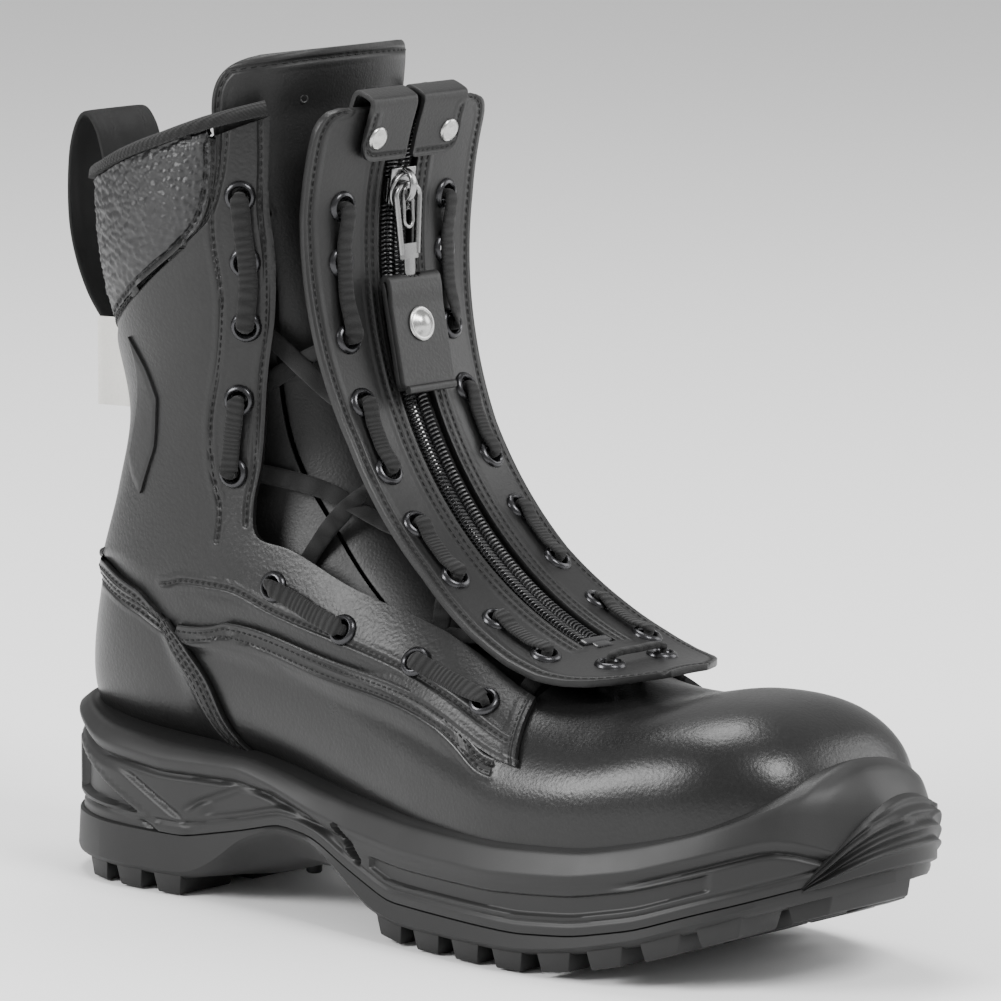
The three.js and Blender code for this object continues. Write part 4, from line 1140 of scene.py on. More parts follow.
    def tongue(self) -> bpy.types.Object:
        """The tongue, padded at the top, with its seam and vents."""
        half_table = ((7.2, 26), (8, 40), (9, 49), (16.5, 50), (17.6, 60), (18.4, 72), (19.5, 71),
                      (19.85, 62), (20, 48))
        t = np.concatenate([np.linspace(7.2, 18.4, 100), np.linspace(18.45, 20, 34)])
        half = table(half_table, t)
        soft = smooth(18.3, 19.2, t)
        half = half * (1 - soft) + soft * (30 + 42 * np.sqrt(np.clip(1 - ((t - 18.6) / 1.44) ** 4, 0, 1)))
        thick = (0.7 + 1.6 * smooth(16, 18, t)) * np.sqrt(np.clip((20.04 - t) / 0.3, 0, 1))
        a = np.linspace(0, 2 * np.pi, 96, endpoint=False)
        c, s = np.cos(a), np.sin(a)
        f = np.sign(c) * np.abs(c) ** 0.75
        g = np.sign(s) * np.abs(s) ** 0.42
        lean = 3.4 * smooth(18.6, 20, t)[:, None] * (1 - f[None] ** 2)
        depth = -9.0 + lean - thick[:, None] + g[None] * thick[:, None]
        rings = FORM.skin(t[:, None], f[None] * half[:, None], depth)
        obj = tube("tongue_padded", rings)
        edge = []
        for e in (-1, 1):
            rows = t[84:-6]
            edge.append(FORM.skin(rows, e * (half[84:-6] - 3.6), -8.2 + 3.4 * smooth(18.6, 20, rows) * 0.1))
        across = np.linspace(-1, 1, 70)
        edge.append(FORM.skin(19.72 + 0 * across, across * 61, -8.6 + 3.4 * (1 - across**2)))
        Stitching(3.2, 0.34, 0.7).sew(obj, edge)
        dress(obj, SOFT, nodes=["tongue"], angle=60)
        profile = ((0.75, -0.4), (0.8, 0.12), (1.1, 0.26), (1.4, 0.1), (1.45, -0.4))
        spots = [(18.95, d) for d in (-48, -24, 4, 32)]
        dress(self.vents("tongue_vents", obj, spots, -7, profile), SOFT)
        return obj

    def gusset(self, side: int, word: str) -> bpy.types.Object:
        """The thin fold between tongue and quarter."""
        t = np.linspace(8.1, 16.4, 80)[:, None]
        f = np.linspace(0, 1, 16)[None]
        inner = table(((7.2, 26), (8, 40), (9, 49), (16.5, 50)), t) + 1.3
        deg = blend(inner, 76.8, f)
        depth = -8.8 + 1.2 * f - 0.5 * np.sin(np.pi * f) * (0.6 + 0.4 * np.sin(t * 5))
        points = FORM.skin(t, side * deg, depth + 0 * t)
        obj = grid(f"gusset_{word}_leather", points, FORM.out(t, side * deg))
        modify(obj, "SOLIDIFY", thickness=0.9 * MM, offset=-1.0)
        return dress(obj, SOFT, nodes=[f"gusset_{word}"])

    def pull_loop(self) -> bpy.types.Object:
        """The webbing loop that stands behind the collar."""
        line = ((-10.4, 204), (-8.4, 214), (-5, 224), (0, 227.5), (4.5, 216), (4.5, 194), (-2, 176),
                (-13, 163), (-22.5, 155), (-24.4, 146))
        yz = spline(line, np.linspace(0, 9, 110))
        path = np.c_[0 * yz[:, 0], yz]
        along = unit(np.gradient(path, axis=0))
        up = np.cross(along, [1.0, 0, 0])
        path = path + up * -0.85
        rings = section(path, up, lambda i: oval(13, 0.95, 40, 5))
        obj = tube("pull_loop_webbing", rings)
        return dress(obj, Cloth("textile", 0.013, 40.0, 0.3, True, 120.0), nodes=["pull_loop"], angle=50)

    def label(self) -> bpy.types.Object:
        """The folded blank tag under the loop."""
        turn = math.radians(12)

        def place(x: Array, y: Array, z: Array) -> Array:
            """Stand the tag in its place."""
            bow = 0.5 * np.sin(np.pi * y / 12)
            x = x + bow
            return np.stack([x * math.cos(turn) - y * math.sin(turn) - 14.6,
                             x * math.sin(turn) + y * math.cos(turn) - 22.1, z + 141], -1)

        leaves = [block("leaf", place, (low, low + 0.32, 0, 12, 0, 27), 0.12, 5) for low in (-0.4, 0.08)]
        return dress(weld("label_tag", leaves), PAPER, nodes=["label"])

    def emblem(self, side: int, word: str) -> bpy.types.Object:
        """The plain pointed patch on the side of the collar."""
        shape = np.array(((16.6, 118), (15.4, 101), (14.6, 97), (14.1, 100), (15, 116)), float)
        middle = shape.mean(0)
        corners = np.vstack([shape, shape[:1]]) * [12, 0.75]
        ring = resample(corners, 0.9)[:-1] / [12, 0.75]
        k = np.linspace(0.02, 1, 14)[:, None, None]
        at = middle + (ring[None] - middle) * k
        depth = 2.45 + 0.45 * (1 - smooth(0.85, 1.0, k[..., 0])) + 0 * at[..., 0]
        points = FORM.skin(at[..., 0], side * at[..., 1], depth)
        base = FORM.skin(ring[:, 0], side * ring[:, 1], 1.2)[None]
        obj = tube(f"emblem_{word}_patch", np.concatenate([points, base]))
        return dress(obj, Leather("grain", 0.01, 0.45, 0.08, 800.0), nodes=[f"emblem_{word}"])

    def rings(self, side: int, word: str) -> bpy.types.Object:
        """The lacquered eyelets of one facing."""
        made = []
        for k, (t, d) in enumerate(self.eyelets):
            level = 2.1 if k < 7 else 2.8
            made.append(eyelet(FORM.point(t, side * d), FORM.out(t, side * d), level - 0.3, -2.8))
        return dress(weld(f"eyelets_facing_{word}_rings", made), LACQUER, nodes=[f"eyelets_facing_{word}"])

    def build(self) -> None:
        """Build the whole upper."""
        self.vamp()
        for side, word in SIDES:
            self.quarter(side, word)
            self.gusset(side, word)
            self.emblem(side, word)
            self.rings(side, word)
        self.heel()
        self.collar_panel()
        self.binding()
        self.lining()
        self.tongue()
        self.pull_loop()
        self.label()


def eyelet(origin: Array, out: Array, level: float, foot: float) -> bpy.types.Object:
    """A rolled eyelet with its barrel.

    Args:
        origin: the foot of its axis.
        out: the way it faces.
        level: height of the rolled rim's underside.
        foot: depth that the barrel reaches.

    Returns:
        The new object.
    """
    profile = [(2.75, foot), (2.75, level + 0.3), (2.95, level + 0.95), (3.45, level + 1.35),
               (4.05, level + 1.2), (4.55, level + 0.7), (4.75, level + 0.1), (4.4, level),
               (3.2, level), (3.1, foot)]
    return turned("eyelet", profile, origin, out, 26, loop=True)


# ---------------------------------------------------------------- zip
@dataclass
class ZipAssembly:
    """Leather panel, tapes, coils, end tabs, slider, pull and fob."""

    slot: float = 7.3
    halves: Sequence = ((20.5, 29), (20.3, 31.5), (19.8, 33.7), (18.8, 35.6), (17.4, 36.7), (16, 37),
                        (5, 37), (-15, 34), (-28, 31.8), (-50, 31.8), (-62, 34.3), (-70, 35.2),
                        (-75, 34.4), (-79, 31.8), (-82, 28.3), (-84.5, 23.5), (-86.5, 18), (-88, 12.5),
                        (-89, 8))
    eyelets: Sequence = ((22.5, 6), (22.5, -2), (22.5, -13), (22.5, -22.5), (22.5, -33), (22.5, -42),
                         (22.5, -52), (22.5, -61.5), (22.5, -71.5), (11.5, -79))
    pin: tuple[float, float] = (-121.447, 214.792)
    joint: tuple[float, float] = (-122.647, 186.792)
    fob_width: float = 22.0
    fob_length: float = 33.0

    def panel(self) -> bpy.types.Object:
        """The laced leather panel with its open slot."""
        x0 = ARC.X
        upper = np.linspace(20.5, -72, 190)
        lower = np.linspace(-72, -89, 44)
        parts, lines = [], []
        for side in (-1, 1):
            deg = upper[:, None]
            half = table(self.halves, deg)
            x = x0 + side * blend(self.slot, half, np.linspace(0, 1, 34)[None])
            points = ARC.point(x, deg + 0 * x, 0)
            parts.append(grid("side", points, ARC.out(x, deg + 0 * x)))
            lines += [inset(points, Edge.FIRST_COLUMN, d) for d in (2.0, 4.6)]
            lines.append(inset(points, Edge.LAST_COLUMN, 2.6))
        deg = lower[:, None]
        half = table(self.halves, deg)
        slot = np.minimum(self.slot, half * 0.6)
        wing = np.linspace(0, 1, 34)[None]
        right = blend(slot, half, wing)
        middle = slot * np.linspace(-1, 1, 16)[None, 1:-1]
        x = x0 + np.concatenate([-right[:, ::-1], middle, right], 1)
        points = ARC.point(x, deg + 0 * x, 0)
        parts.append(grid("foot", points, ARC.out(x, deg + 0 * x)))
        lines += [inset(points, Edge.FIRST_COLUMN, 2.6)[:-3], inset(points, Edge.LAST_COLUMN, 2.6)[:-3],
                  inset(points, Edge.LAST_ROW, 2.6)]
        obj = weld("zip_panel_leather", parts, 2e-5)
        holes = np.array([ARC.point(x0 + s * x, d) for s in (-1, 1) for x, d in self.eyelets])
        cut_holes(obj, holes, 3.3)
        thicken(obj, 2.0, 0.6)
        SEAM.sew(obj, lines)
        return dress(obj, Leather("leather", 0.007, 0.42, 0.055, 1200.0), nodes=["zip_panel"])

    def tape(self, side: int, word: str) -> bpy.types.Object:
        """One zip tape."""
        deg = np.linspace(18.5, -71, 150)[:, None]
        x = ARC.X + side * np.linspace(0.8, 14.8, 12)[None]
        points = ARC.point(x + 0 * deg, deg + 0 * x, 2.5, crowned=False)
        obj = grid(f"zip_tape_{word}_woven", points, ARC.out(x + 0 * deg, deg + 0 * x))
        modify(obj, "SOLIDIFY", thickness=0.7 * MM, offset=-1.0)
        return dress(obj, TAPE, nodes=[f"zip_tape_{word}"])

    def coil(self, side: int, word: str) -> bpy.types.Object:
        """One coil, wound along the tape's edge."""
        turns, per = 138, 10
        k = np.arange(turns * per + 1) / per
        deg = blend(18.2, -70, k / turns)
        a = 2 * np.pi * k
        x = ARC.X + side * (2.55 + 2.1 * np.cos(a))
        depth = 1.25 - 0.95 * np.sin(a)
        path = ARC.point(x, deg + 0.18 * np.sin(a), depth, crowned=False)
        rings = section(path, ARC.out(x, deg), lambda i: oval(0.38, 0.38, 5))
        obj = tube(f"zip_coil_{word}_wound", rings)
        return dress(obj, NYLON, nodes=[f"zip_coil_{word}"], angle=70)

    def bent(self, x: Array, deg: Array, depth: Array) -> Array:
        """Place box coordinates on the arc."""
        return ARC.point(x, deg, depth, crowned=False)

    def stop(self) -> bpy.types.Object:
        """The moulded end stop."""
        x = ARC.X
        parts = [block("stop", self.bent, (x - 5.6, x + 5.6, -71.9, -70.3, -0.6, 2.6), 0.5, 2),
                 block("stop", self.bent, (x - 3.4, x + 3.4, -73.2, -71.6, -0.5, 0.8), 0.4, 2)]
        return dress(weld("zip_stop_moulded", parts), NYLON, nodes=["zip_stop"])

    def tab(self, side: int, word: str) -> bpy.types.Object:
        """A leather tab folded over the tape's end."""
        line = np.array(((12.8, -2.6), (17, -2.6), (21, -2.6), (22.1, -2.1), (22.7, -0.8), (22.7, 4.4),
                         (22.1, 6.2), (21, 6.8), (17.5, 6.8), (14.5, 6.8)))
        path = resample(spline(line, np.linspace(0, 9, 200)) * [2.04, 1], 0.6) / [2.04, 1]
        p = np.linspace(0, 1, 30)[None]
        x = ARC.X + side * blend(1.5, 20.5, p)
        q = np.linspace(0, 1, len(path))[:, None]
        cut = 2.6 * (1 - np.sqrt(np.clip(1 - (np.clip(p - 0.74, 0, 1) / 0.26) ** 2, 0, 1)))
        cut = cut + 0.5 * (1 - np.sqrt(np.clip(1 - (np.clip(0.08 - p, 0, 1) / 0.08) ** 2, 0, 1)))
        deg = path[:, :1] + cut * (1 - smooth(0, 0.3, q))
        depth = path[:, 1:] + 0 * p
        points = ARC.point(x + 0 * q, deg, depth, crowned=False)
        middle = ARC.point(x + 0 * q, 17 + 0 * deg, 2 + 0 * deg, crowned=False)
        obj = grid(f"end_tab_{word}_leather", points, points - middle)
        thicken(obj, 1.5, 0.45)
        rows = [inset(points, Edge.LAST_COLUMN, 1.9)[3:26], inset(points, Edge.FIRST_ROW, 1.9)[2:-2]]
        Stitching(2.2, 0.26, 0.7).sew(obj, rows)
        return dress(obj, TAB, nodes=[f"end_tab_{word}"])

    def rivet(self, side: int, word: str) -> bpy.types.Object:
        """The domed rivet of a tab."""
        foot = ARC.point(ARC.X + side * 15.5, 16.5, 0, crowned=False)
        out = np.array([0, math.cos(math.radians(16.5)), math.sin(math.radians(16.5))]) * -1
        profile = [(1.8, 1.4), (3.3, 2.3), (3.6, 2.7), (3.5, 3.1), (3.0, 3.35), (2.6, 3.15), (2.3, 3.2),
                   (1.5, 3.55), (0.7, 3.7), (0.05, 3.75)]
        return dress(turned(f"tab_rivet_{word}_domed", profile, foot, out, 32), NICKEL,
                     nodes=[f"tab_rivet_{word}"],
                     angle=50)

    def slider(self) -> bpy.types.Object:
        """The slider body, its divider and the bridge that holds the pull."""
        x = ARC.X
        parts = [block("top", self.bent, (x - 5.2, x + 5.2, 5.8, 11.2, -1.7, -0.3), 0.45, 3),
                 block("under", self.bent, (x - 4.9, x + 4.9, 5.8, 11.2, 4, 5.2), 0.4, 3),
                 block("divider", self.bent, (x - 0.6, x + 0.6, 9.4, 11.2, -0.5, 4.2), 0.2, 1)]
        for side in (-1, 1):
            box = sorted((x + side * 4.5, x + side * 5.2))
            parts.append(block("rail", self.bent, (*box, 5.9, 9.6, -0.5, 1.1), 0.25, 1))
        a = np.linspace(0, np.pi, 26)
        deg = 8.5 + 2.4 * np.cos(a)
        depth = -1.2 - 4.7 * np.sin(a) ** 0.7
        path = self.bent(x + 0 * a, deg, depth)
        rings = section(path, np.tile([1.0, 0, 0], (len(a), 1)), lambda i: oval(0.6, 1.3, 14, 3))
        parts.append(tube("bridge", rings))
        a = np.linspace(0, 2 * np.pi, 40, endpoint=False)
        crown = self.bent(x + 5.3 * np.cos(a), 7.6 + 2.7 * np.sin(a), -2.3 + 0 * a)
        centre = crown.mean(0)
        rings = []
        for p in crown:
            way, face = unit(p - centre), ARC.out(x, 7.6)
            rings.append(p + oval(0.75, 0.65, 12)[:, :1] * way + oval(0.75, 0.65, 12)[:, 1:] * face)
        parts.append(tube("crown", np.array(rings), loop=True))
        return dress(weld("zip_slider_body", parts), GUNMETAL, "zip_slider", nodes=["zip_slider"])

    def pull(self) -> bpy.types.Object:
        """The arched metal pull that carries the fob."""
        drop = 28.0
        tilt = math.atan2(self.joint[0] - self.pin[0], self.pin[1] - self.joint[1])

        def hang(points: Array) -> Array:
            """Hang model points from the pin."""
            y, z = points[..., 1], points[..., 2]
            c, s = math.cos(tilt), math.sin(tilt)
            return np.stack([points[..., 0] + ARC.X, y * c - z * s + self.pin[0],
                             y * s + z * c + self.pin[1]], -1)

        def bar(path: Sequence, half: float, deep: float, loop: bool = False) -> bpy.types.Object:
            """A rounded bar along a line in the pull's plane."""
            line = resample(np.array([(px, 0, pz) for px, pz in path], float), 0.5)
            up = np.tile([0, 1.0, 0], (len(line), 1))
            rings = section(line, up, lambda i: oval(half, deep, 12, 3))
            return tube("bar", hang(rings), loop=loop)

        arch = [(5.0 * math.cos(a), -2.6 + 3.2 * math.sin(a)) for a in np.linspace(-0.1, np.pi + 0.1, 30)]
        outline = [(3.3, -20.0)] + arch + [(-3.3, -20.0)]
        inner = [(1.9 * math.cos(a), -3.2 + 3.2 * math.sin(a)) for a in np.linspace(0, np.pi, 20)]
        inner += [(1.9 * math.cos(a), -9.6 + 2.4 * math.sin(a)) for a in np.linspace(np.pi, 2 * np.pi, 20)]
        parts = [bar(outline, 0.95, 0.95), bar(inner + inner[:1], 0.6, 0.75),
                 bar([(0, -16.8), (0, -21.4)], 3.9, 0.85), bar([(0, -20.4), (0, -drop)], 2.3, 0.8)]
        cross = np.array([(px, 0, -drop) for px in np.linspace(-7, 7, 15)])
        rings = section(cross, np.tile([0, 1.0, 0], (15, 1)), lambda i: oval(1.05, 1.05, 16))
        parts.append(tube("axle", hang(rings)))
        return dress(weld("zip_pull_arched", parts), GUNMETAL, "zip_pull", nodes=["zip_pull"], angle=50)

    def fob(self) -> bpy.types.Object:
        """The folded leather fob and its stud."""
        turn = math.radians(-12)
        c, s = math.cos(turn), math.sin(turn)

        def lean(points: Array) -> Array:
            """Lean model points about the joint."""
            y, z = points[..., 1], points[..., 2]
            return np.stack([points[..., 0] + ARC.X, y * c - z * s + self.joint[0],
                             y * s + z * c + self.joint[1]], -1)

        a = np.linspace(0, np.pi, 24)
        front = np.linspace(1 - self.fob_length, -1.2, 44)
        eye = np.c_[-2.35 * np.cos(a), 2.35 * np.sin(a)]
        line = np.concatenate([np.c_[-1.75 + 0 * front, front], eye[1:-1],
                               np.c_[1.75 + 0 * front, front][::-1]])
        line[:44, 0] -= 0.55 * smooth(-8, -2, front)
        line = resample(line, 0.6)
        half = self.fob_width / 2
        x = np.linspace(-1, 1, 40)[None]
        y, z = line[:, :1], line[:, 1:]
        corner = np.where(z < -29.5, 1 - 0.10 * ((-29.5 - z) / 2.5) ** 2, 1)
        points = np.stack([x * half * corner, y + 0 * x, z + 0 * x], -1)
        out = np.stack([0 * x + 0 * y, np.sign(y + 1e-9) + 0 * x, 0 * x + 0 * y], -1)
        shaped = lean(points)
        normals = np.stack([out[..., 0], out[..., 1] * c, out[..., 1] * s], -1)
        obj = grid("zip_fob_leather", shaped, normals)
        slot = lean(np.array([(px, 0, pz) for px in (-1.9, 0, 1.9) for pz in (2.2, 1.2)], float))
        cut_holes(obj, slot, 2.0)
        thicken(obj, 1.7, 0.5)
        dress(obj, Leather("leather", 0.012, 0.48, 0.08, 1100.0), "zip_fob", nodes=["zip_fob"])
        roll = np.array([(px, -1.9, -32.0) for px in np.linspace(-half * 0.92, half * 0.92, 40)])
        rings = section(roll, np.tile([0, 1.0, 0], (40, 1)), lambda i: oval(1.25, 1.1, 14, 2.4))
        dress(tube("fob_roll", lean(rings)), Leather("leather", 0.012, 0.48, 0.08, 1100.0), "zip_fob")
        foot = lean(np.array([0.0, 0, -13]))
        out = np.array([0, -c, -s])
        profile = [(1.5, -0.3), (1.5, 1.6), (4.9, 1.75), (5.2, 2.1), (4.95, 2.5), (4.4, 2.6),
                   (4.1, 2.45), (3.7, 2.7), (2.6, 3.7), (1.4, 4.25), (0.05, 4.4)]
        stud = turned("fob_stud_domed", profile, foot, out, 36)
        return dress(stud, NICKEL, "zip_fob", nodes=["fob_stud"], angle=50)

    def rings(self, side: int, word: str) -> bpy.types.Object:
        """The lacquered eyelets of one panel half."""
        made = []
        for x, d in self.eyelets:
            px = ARC.X + side * x
            made.append(eyelet(ARC.point(px, d), ARC.out(px, d), -0.05, -3.3 + 0.2))
        return dress(weld(f"eyelets_panel_{word}_rings", made), LACQUER, nodes=[f"eyelets_panel_{word}"])

    def build(self) -> None:
        """Build the whole zip."""
        self.panel()
        for side, word in SIDES:
            self.tape(side, word)
            self.coil(side, word)
            self.tab(side, word)
            self.rivet(side, word)
            self.rings(side, word)
        self.stop()
        self.slider()
        self.pull()
        self.fob()


# ---------------------------------------------------------------- laces
@dataclass
class Lacing:
    """The two laces and the short cord that ties the panel's foot."""

    upper: Upper
    zip_: ZipAssembly
    width: float = 5.6
    depth: float = 1.5
    stations: Sequence = (0, 0, 0, 0, 10.9, 9.9, 8.85, 8, 7.2)
    route: list = field(default_factory=list)

    def hole(self, kind: str, side: int, index: int, depth: float) -> None:
        """Add a point over or under a hole."""
        if kind == "facing":
            t, d = self.upper.eyelets[index]
            self.route.append((FORM.skin(t, side * d, depth), FORM.out(t, side * d)))
        else:
            x, d = self.zip_.eyelets[index]
            px = ARC.X + side * x
            self.route.append((ARC.point(px, d, depth), ARC.out(px, d)))

    def over(self, kind: str, side: int, start: int, end: int) -> None:
        """Come out at one hole, run along the leather and go in at another."""
        facing = kind == "facing"
        levels = (-4.6, 0.5, 4.2) if facing else (5.2, 1.4, -2.3)
        for depth in levels:
            self.hole(kind, side, start, depth)
        holes = self.upper.eyelets if facing else self.zip_.eyelets
        for f in (0.3, 0.5, 0.7):
            p, d = (blend(a, b, f) for a, b in zip(holes[start], holes[end]))
            if facing:
                self.route.append((FORM.skin(p, side * d, 3.3), FORM.out(p, side * d)))
            else:
                x = ARC.X + side * p
                self.route.append((ARC.point(x, d, -1.5), ARC.out(x, d)))
        for depth in reversed(levels):
            self.hole(kind, side, end, depth)

    def under(self, side: int, facing: int, panel: int) -> None:
        """Cross behind the edge of the facing."""
        t, d = self.upper.eyelets[facing]
        t, d = (t + self.stations[panel]) / 2, side * (d + 25) / 2
        self.route.append((FORM.skin(t, d, -4.6), FORM.out(t, d)))

    def curve(self, points: Array, count: int) -> tuple[Array, Array]:
        """Centripetal curve through points, with the place of each sample among them."""
        p = np.vstack([2 * points[0] - points[1], points, 2 * points[-1] - points[-2]])
        k = np.r_[0, np.cumsum(np.maximum(np.linalg.norm(np.diff(p, axis=0), axis=1), 1e-6) ** 0.5)]
        out, at = [], []
        for i in range(1, len(p) - 2):
            t = np.linspace(k[i], k[i + 1], count, endpoint=False)[:, None]

            def between(low: int, high: int, start: Array, end: Array) -> Array:
                """Straight mix of two points by the knots low and high."""
                wide = k[high] - k[low]
                return (k[high] - t) / wide * start + (t - k[low]) / wide * end

            a = [between(j, j + 1, p[j], p[j + 1]) for j in (i - 1, i, i + 1)]
            b = [between(i - 1, i + 1, a[0], a[1]), between(i, i + 2, a[1], a[2])]
            out.append(between(i, i + 1, b[0], b[1]))
            at.append(i - 1 + (t[:, 0] - k[i]) / (k[i + 1] - k[i]))
        return np.vstack(out + [points[-1:]]), np.r_[np.concatenate(at), len(points) - 1]

    def strap(self, name: str, width: float, depth: float, count: int) -> bpy.types.Object:
        """A braided lace along the route, flat where it lies and round in the holes."""
        points = np.array([p for p, _ in self.route])
        faces = np.array([n for _, n in self.route])
        path, at = self.curve(points, count)
        normal = np.stack([np.interp(at, np.arange(len(faces)), faces[:, k]) for k in range(3)], -1)
        along = unit(np.gradient(path, axis=0))
        up = np.empty_like(path)
        flat = np.empty(len(path))
        last = unit(np.cross(along[0], [0.3, 1, 0.1]))
        for i, (n, a) in enumerate(zip(unit(normal), along)):
            wish = n - a * np.dot(n, a)
            flat[i] = np.linalg.norm(wish)
            if np.dot(wish, last) < 0:
                wish = -wish
            last = last - a * np.dot(last, a)
            last = last / np.linalg.norm(last) * (1 - 0.35 * flat[i]) + wish * 0.35
            last = last / np.linalg.norm(last)
            up[i] = last
        kernel = np.ones(5) / 5
        flat = np.convolve(np.pad(flat, 2, mode="edge"), kernel, "valid")
        share = smooth(0.35, 0.85, flat)

        def shape(i: int) -> Array:
            """Section at a sample."""
            return oval(blend(width * 0.3, width / 2, share[i]), blend(1.35, depth / 2, share[i]), 16, 2.6)

        obj = tube(name, section(path, up, shape))
        length = float(np.sum(np.linalg.norm(np.diff(path, axis=0), axis=1)))
        LOG.info("%s: %.0f mm long", name, length)
        return dress(obj, Cloth("cord", 0.012, 7.0, 0.3, True, length / 2.6), angle=70)

    def lace(self, side: int, word: str) -> None:
        """One lace, from the top hole to the toe and back up the panel."""
        self.route = []
        self.over("facing", side, 0, 2)
        self.over("panel", side, 3, 4)
        self.under(side, 5, 4)
        self.over("facing", side, 5, 6)
        self.under(side, 6, 7)
        self.over("panel", side, 7, 8)
        self.under(side, 8, 8)
        self.over("facing", side, 8, 7)
        self.under(side, 7, 6)
        self.over("panel", side, 6, 5)
        self.under(side, 4, 5)
        self.over("facing", side, 4, 3)
        self.over("panel", side, 2, 0)
        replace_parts(self.strap(f"lace_{word}_braided", self.width, self.depth, 9), f"lace_{word}")

    def tie(self) -> None:
        """The cord across the panel's foot."""
        self.route = []
        for depth in (2.4, 0.5, -2.6):
            self.hole("panel", -1, 9, depth)
        self.route.append((ARC.point(ARC.X, -79, -3.2), ARC.out(ARC.X, -79)))
        for depth in (-2.6, 0.5, 2.4):
            self.hole("panel", 1, 9, depth)
        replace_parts(self.strap("tie_cord_braided", 3.0, 2.0, 9), "tie_cord")

    def build(self) -> None:
        """Build the laces."""
        for side, word in SIDES:
            self.lace(side, word)
        self.tie()


# ---------------------------------------------------------------- sole
@dataclass
class Sole:
    """Midsole with its lip, outsole with its lugs, and toe guard."""

    outline: Sequence = (
        (0, -2.5), (-17, -6), (-30, -16), (-39, -33), (-42, -55), (-42.5, -80), (-43.5, -105),
        (-46, -130), (-50, -155), (-54, -180), (-56.5, -207), (-55, -232), (-50, -257), (-41, -279),
        (-28, -296), (-12, -306.5), (4, -310), (19, -306), (32, -295), (42, -277), (48.5, -255),
        (51.5, -230), (51, -205), (47, -180), (42, -155), (39, -130), (38.5, -105), (40, -80),
        (41, -55), (38, -33), (30, -16), (17, -6))
    lip: Sequence = ((0, 53), (-15, 51), (-30, 46), (-60, 43.5), (-94, 44.5), (-110, 41), (-124, 37),
                     (-140, 34), (-165, 31.5), (-205, 31), (-235, 33), (-254, 36.5), (-272, 42),
                     (-284, 46), (-292, 48.5), (-300, 46), (-306, 42), (-312, 38))
    lip_middle: Sequence = ((0, 53), (-12, 52), (-60, 48), (-140, 45), (-240, 48), (-270, 54),
                            (-284, 60), (-291, 63.5), (-296, 66), (-300, 64.5), (-305, 58), (-308, 51),
                            (-310, 45))
    split: Sequence = ((0, 19), (-70, 19), (-94, 24), (-110, 28), (-125, 26.5), (-140, 20), (-160, 13),
                       (-215, 12), (-235, 13.5), (-255, 17.5), (-271, 23), (-285, 27.5), (-295, 31),
                       (-312, 37))
    ground: Sequence = ((0, 5), (-70, 5), (-80, 9), (-94, 19), (-110, 24.5), (-125, 22.5), (-136, 16.5),
                        (-150, 8), (-162, 5), (-215, 5), (-235, 7.5), (-255, 12), (-275, 19),
                        (-295, 26.5), (-312, 32))
    ground_middle: Sequence = ((0, 5), (-76, 5), (-94, 8), (-110, 13), (-125, 12.5), (-140, 7),
                               (-150, 5), (-215, 5), (-235, 7.5), (-255, 12), (-275, 19), (-295, 26.5),
                               (-312, 32))
    arch_line: Sequence = ((-70, 27), (-76, 30), (-92, 36), (-108, 36.4), (-123, 32), (-138.5, 25))

    def ring(self, count: int = 900) -> tuple[Array, Array]:
        """Evenly spaced outline points and their outward directions."""
        s = np.linspace(0, 32, 4000, endpoint=False)
        raw = spline(self.outline, s, closed=True)
        even = resample(np.vstack([raw, raw[:1]]), 850 / count)[:-1]
        way = np.roll(even, -1, 0) - np.roll(even, 1, 0)
        out = unit(np.c_[way[:, 1], -way[:, 0]])
        middle = np.c_[0 * even[:, 0], np.clip(even[:, 1], -255, -50)]
        flip = np.sum(out * (even - middle), 1) < 0
        out[flip] *= -1
        return even, out

    def eased(self, rows: Sequence, y: Array) -> Array:
        """A height table, smoothed."""
        return sum(w * table(rows, np.asarray(y) + d) for d, w in ((-4, 0.25), (0, 0.5), (4, 0.25)))

    def edge(self, y: Array, near: bool) -> Array:
        """Half width of the outline at a place."""
        u = np.linspace(0, 16, 400) if near else np.linspace(16, 32, 400)
        x, across = np.moveaxis(spline(self.outline, u, closed=True), -1, 0)
        order = np.argsort(across)
        return np.abs(np.interp(y, across[order], x[order]))

    def lip_top(self, x: Array, y: Array) -> Array:
        """Height of the lip's upper face."""
        lip, mid = self.eased(self.lip, y), self.eased(self.lip_middle, y)
        wide = np.where(x < 0, self.edge(y, True), self.edge(y, False))
        f = np.clip(np.abs(x) / np.maximum(wide, 1), 0, 1)
        return blend(lip, mid, np.sqrt(1 - f * f))

    def near_line(self, y: Array, z: Array, line: Sequence) -> Array:
        """Distance in the side view from a polyline."""
        p = np.stack([y, z], -1)
        best = np.full(y.shape, 99.0)
        for a, b in zip(np.array(line[:-1], float), np.array(line[1:], float)):
            d = b - a
            f = np.clip(((p - a) @ d) / (d @ d), 0, 1)
            best = np.minimum(best, np.linalg.norm(p - a - f[..., None] * d, axis=-1))
        return best

    def inside(self, y: Array, z: Array, shape: Sequence) -> Array:
        """Signed distance from the border of a convex shape, positive inside."""
        pts = np.array(shape, float)
        best = np.full(y.shape, 99.0)
        turn = np.sign(np.cross(pts[1] - pts[0], pts[2] - pts[1]))
        for a, b in zip(pts, np.roll(pts, -1, 0)):
            d = (b - a) / np.linalg.norm(b - a)
            best = np.minimum(best, turn * (d[0] * (z - a[1]) - d[1] * (y - a[0])))
        return best

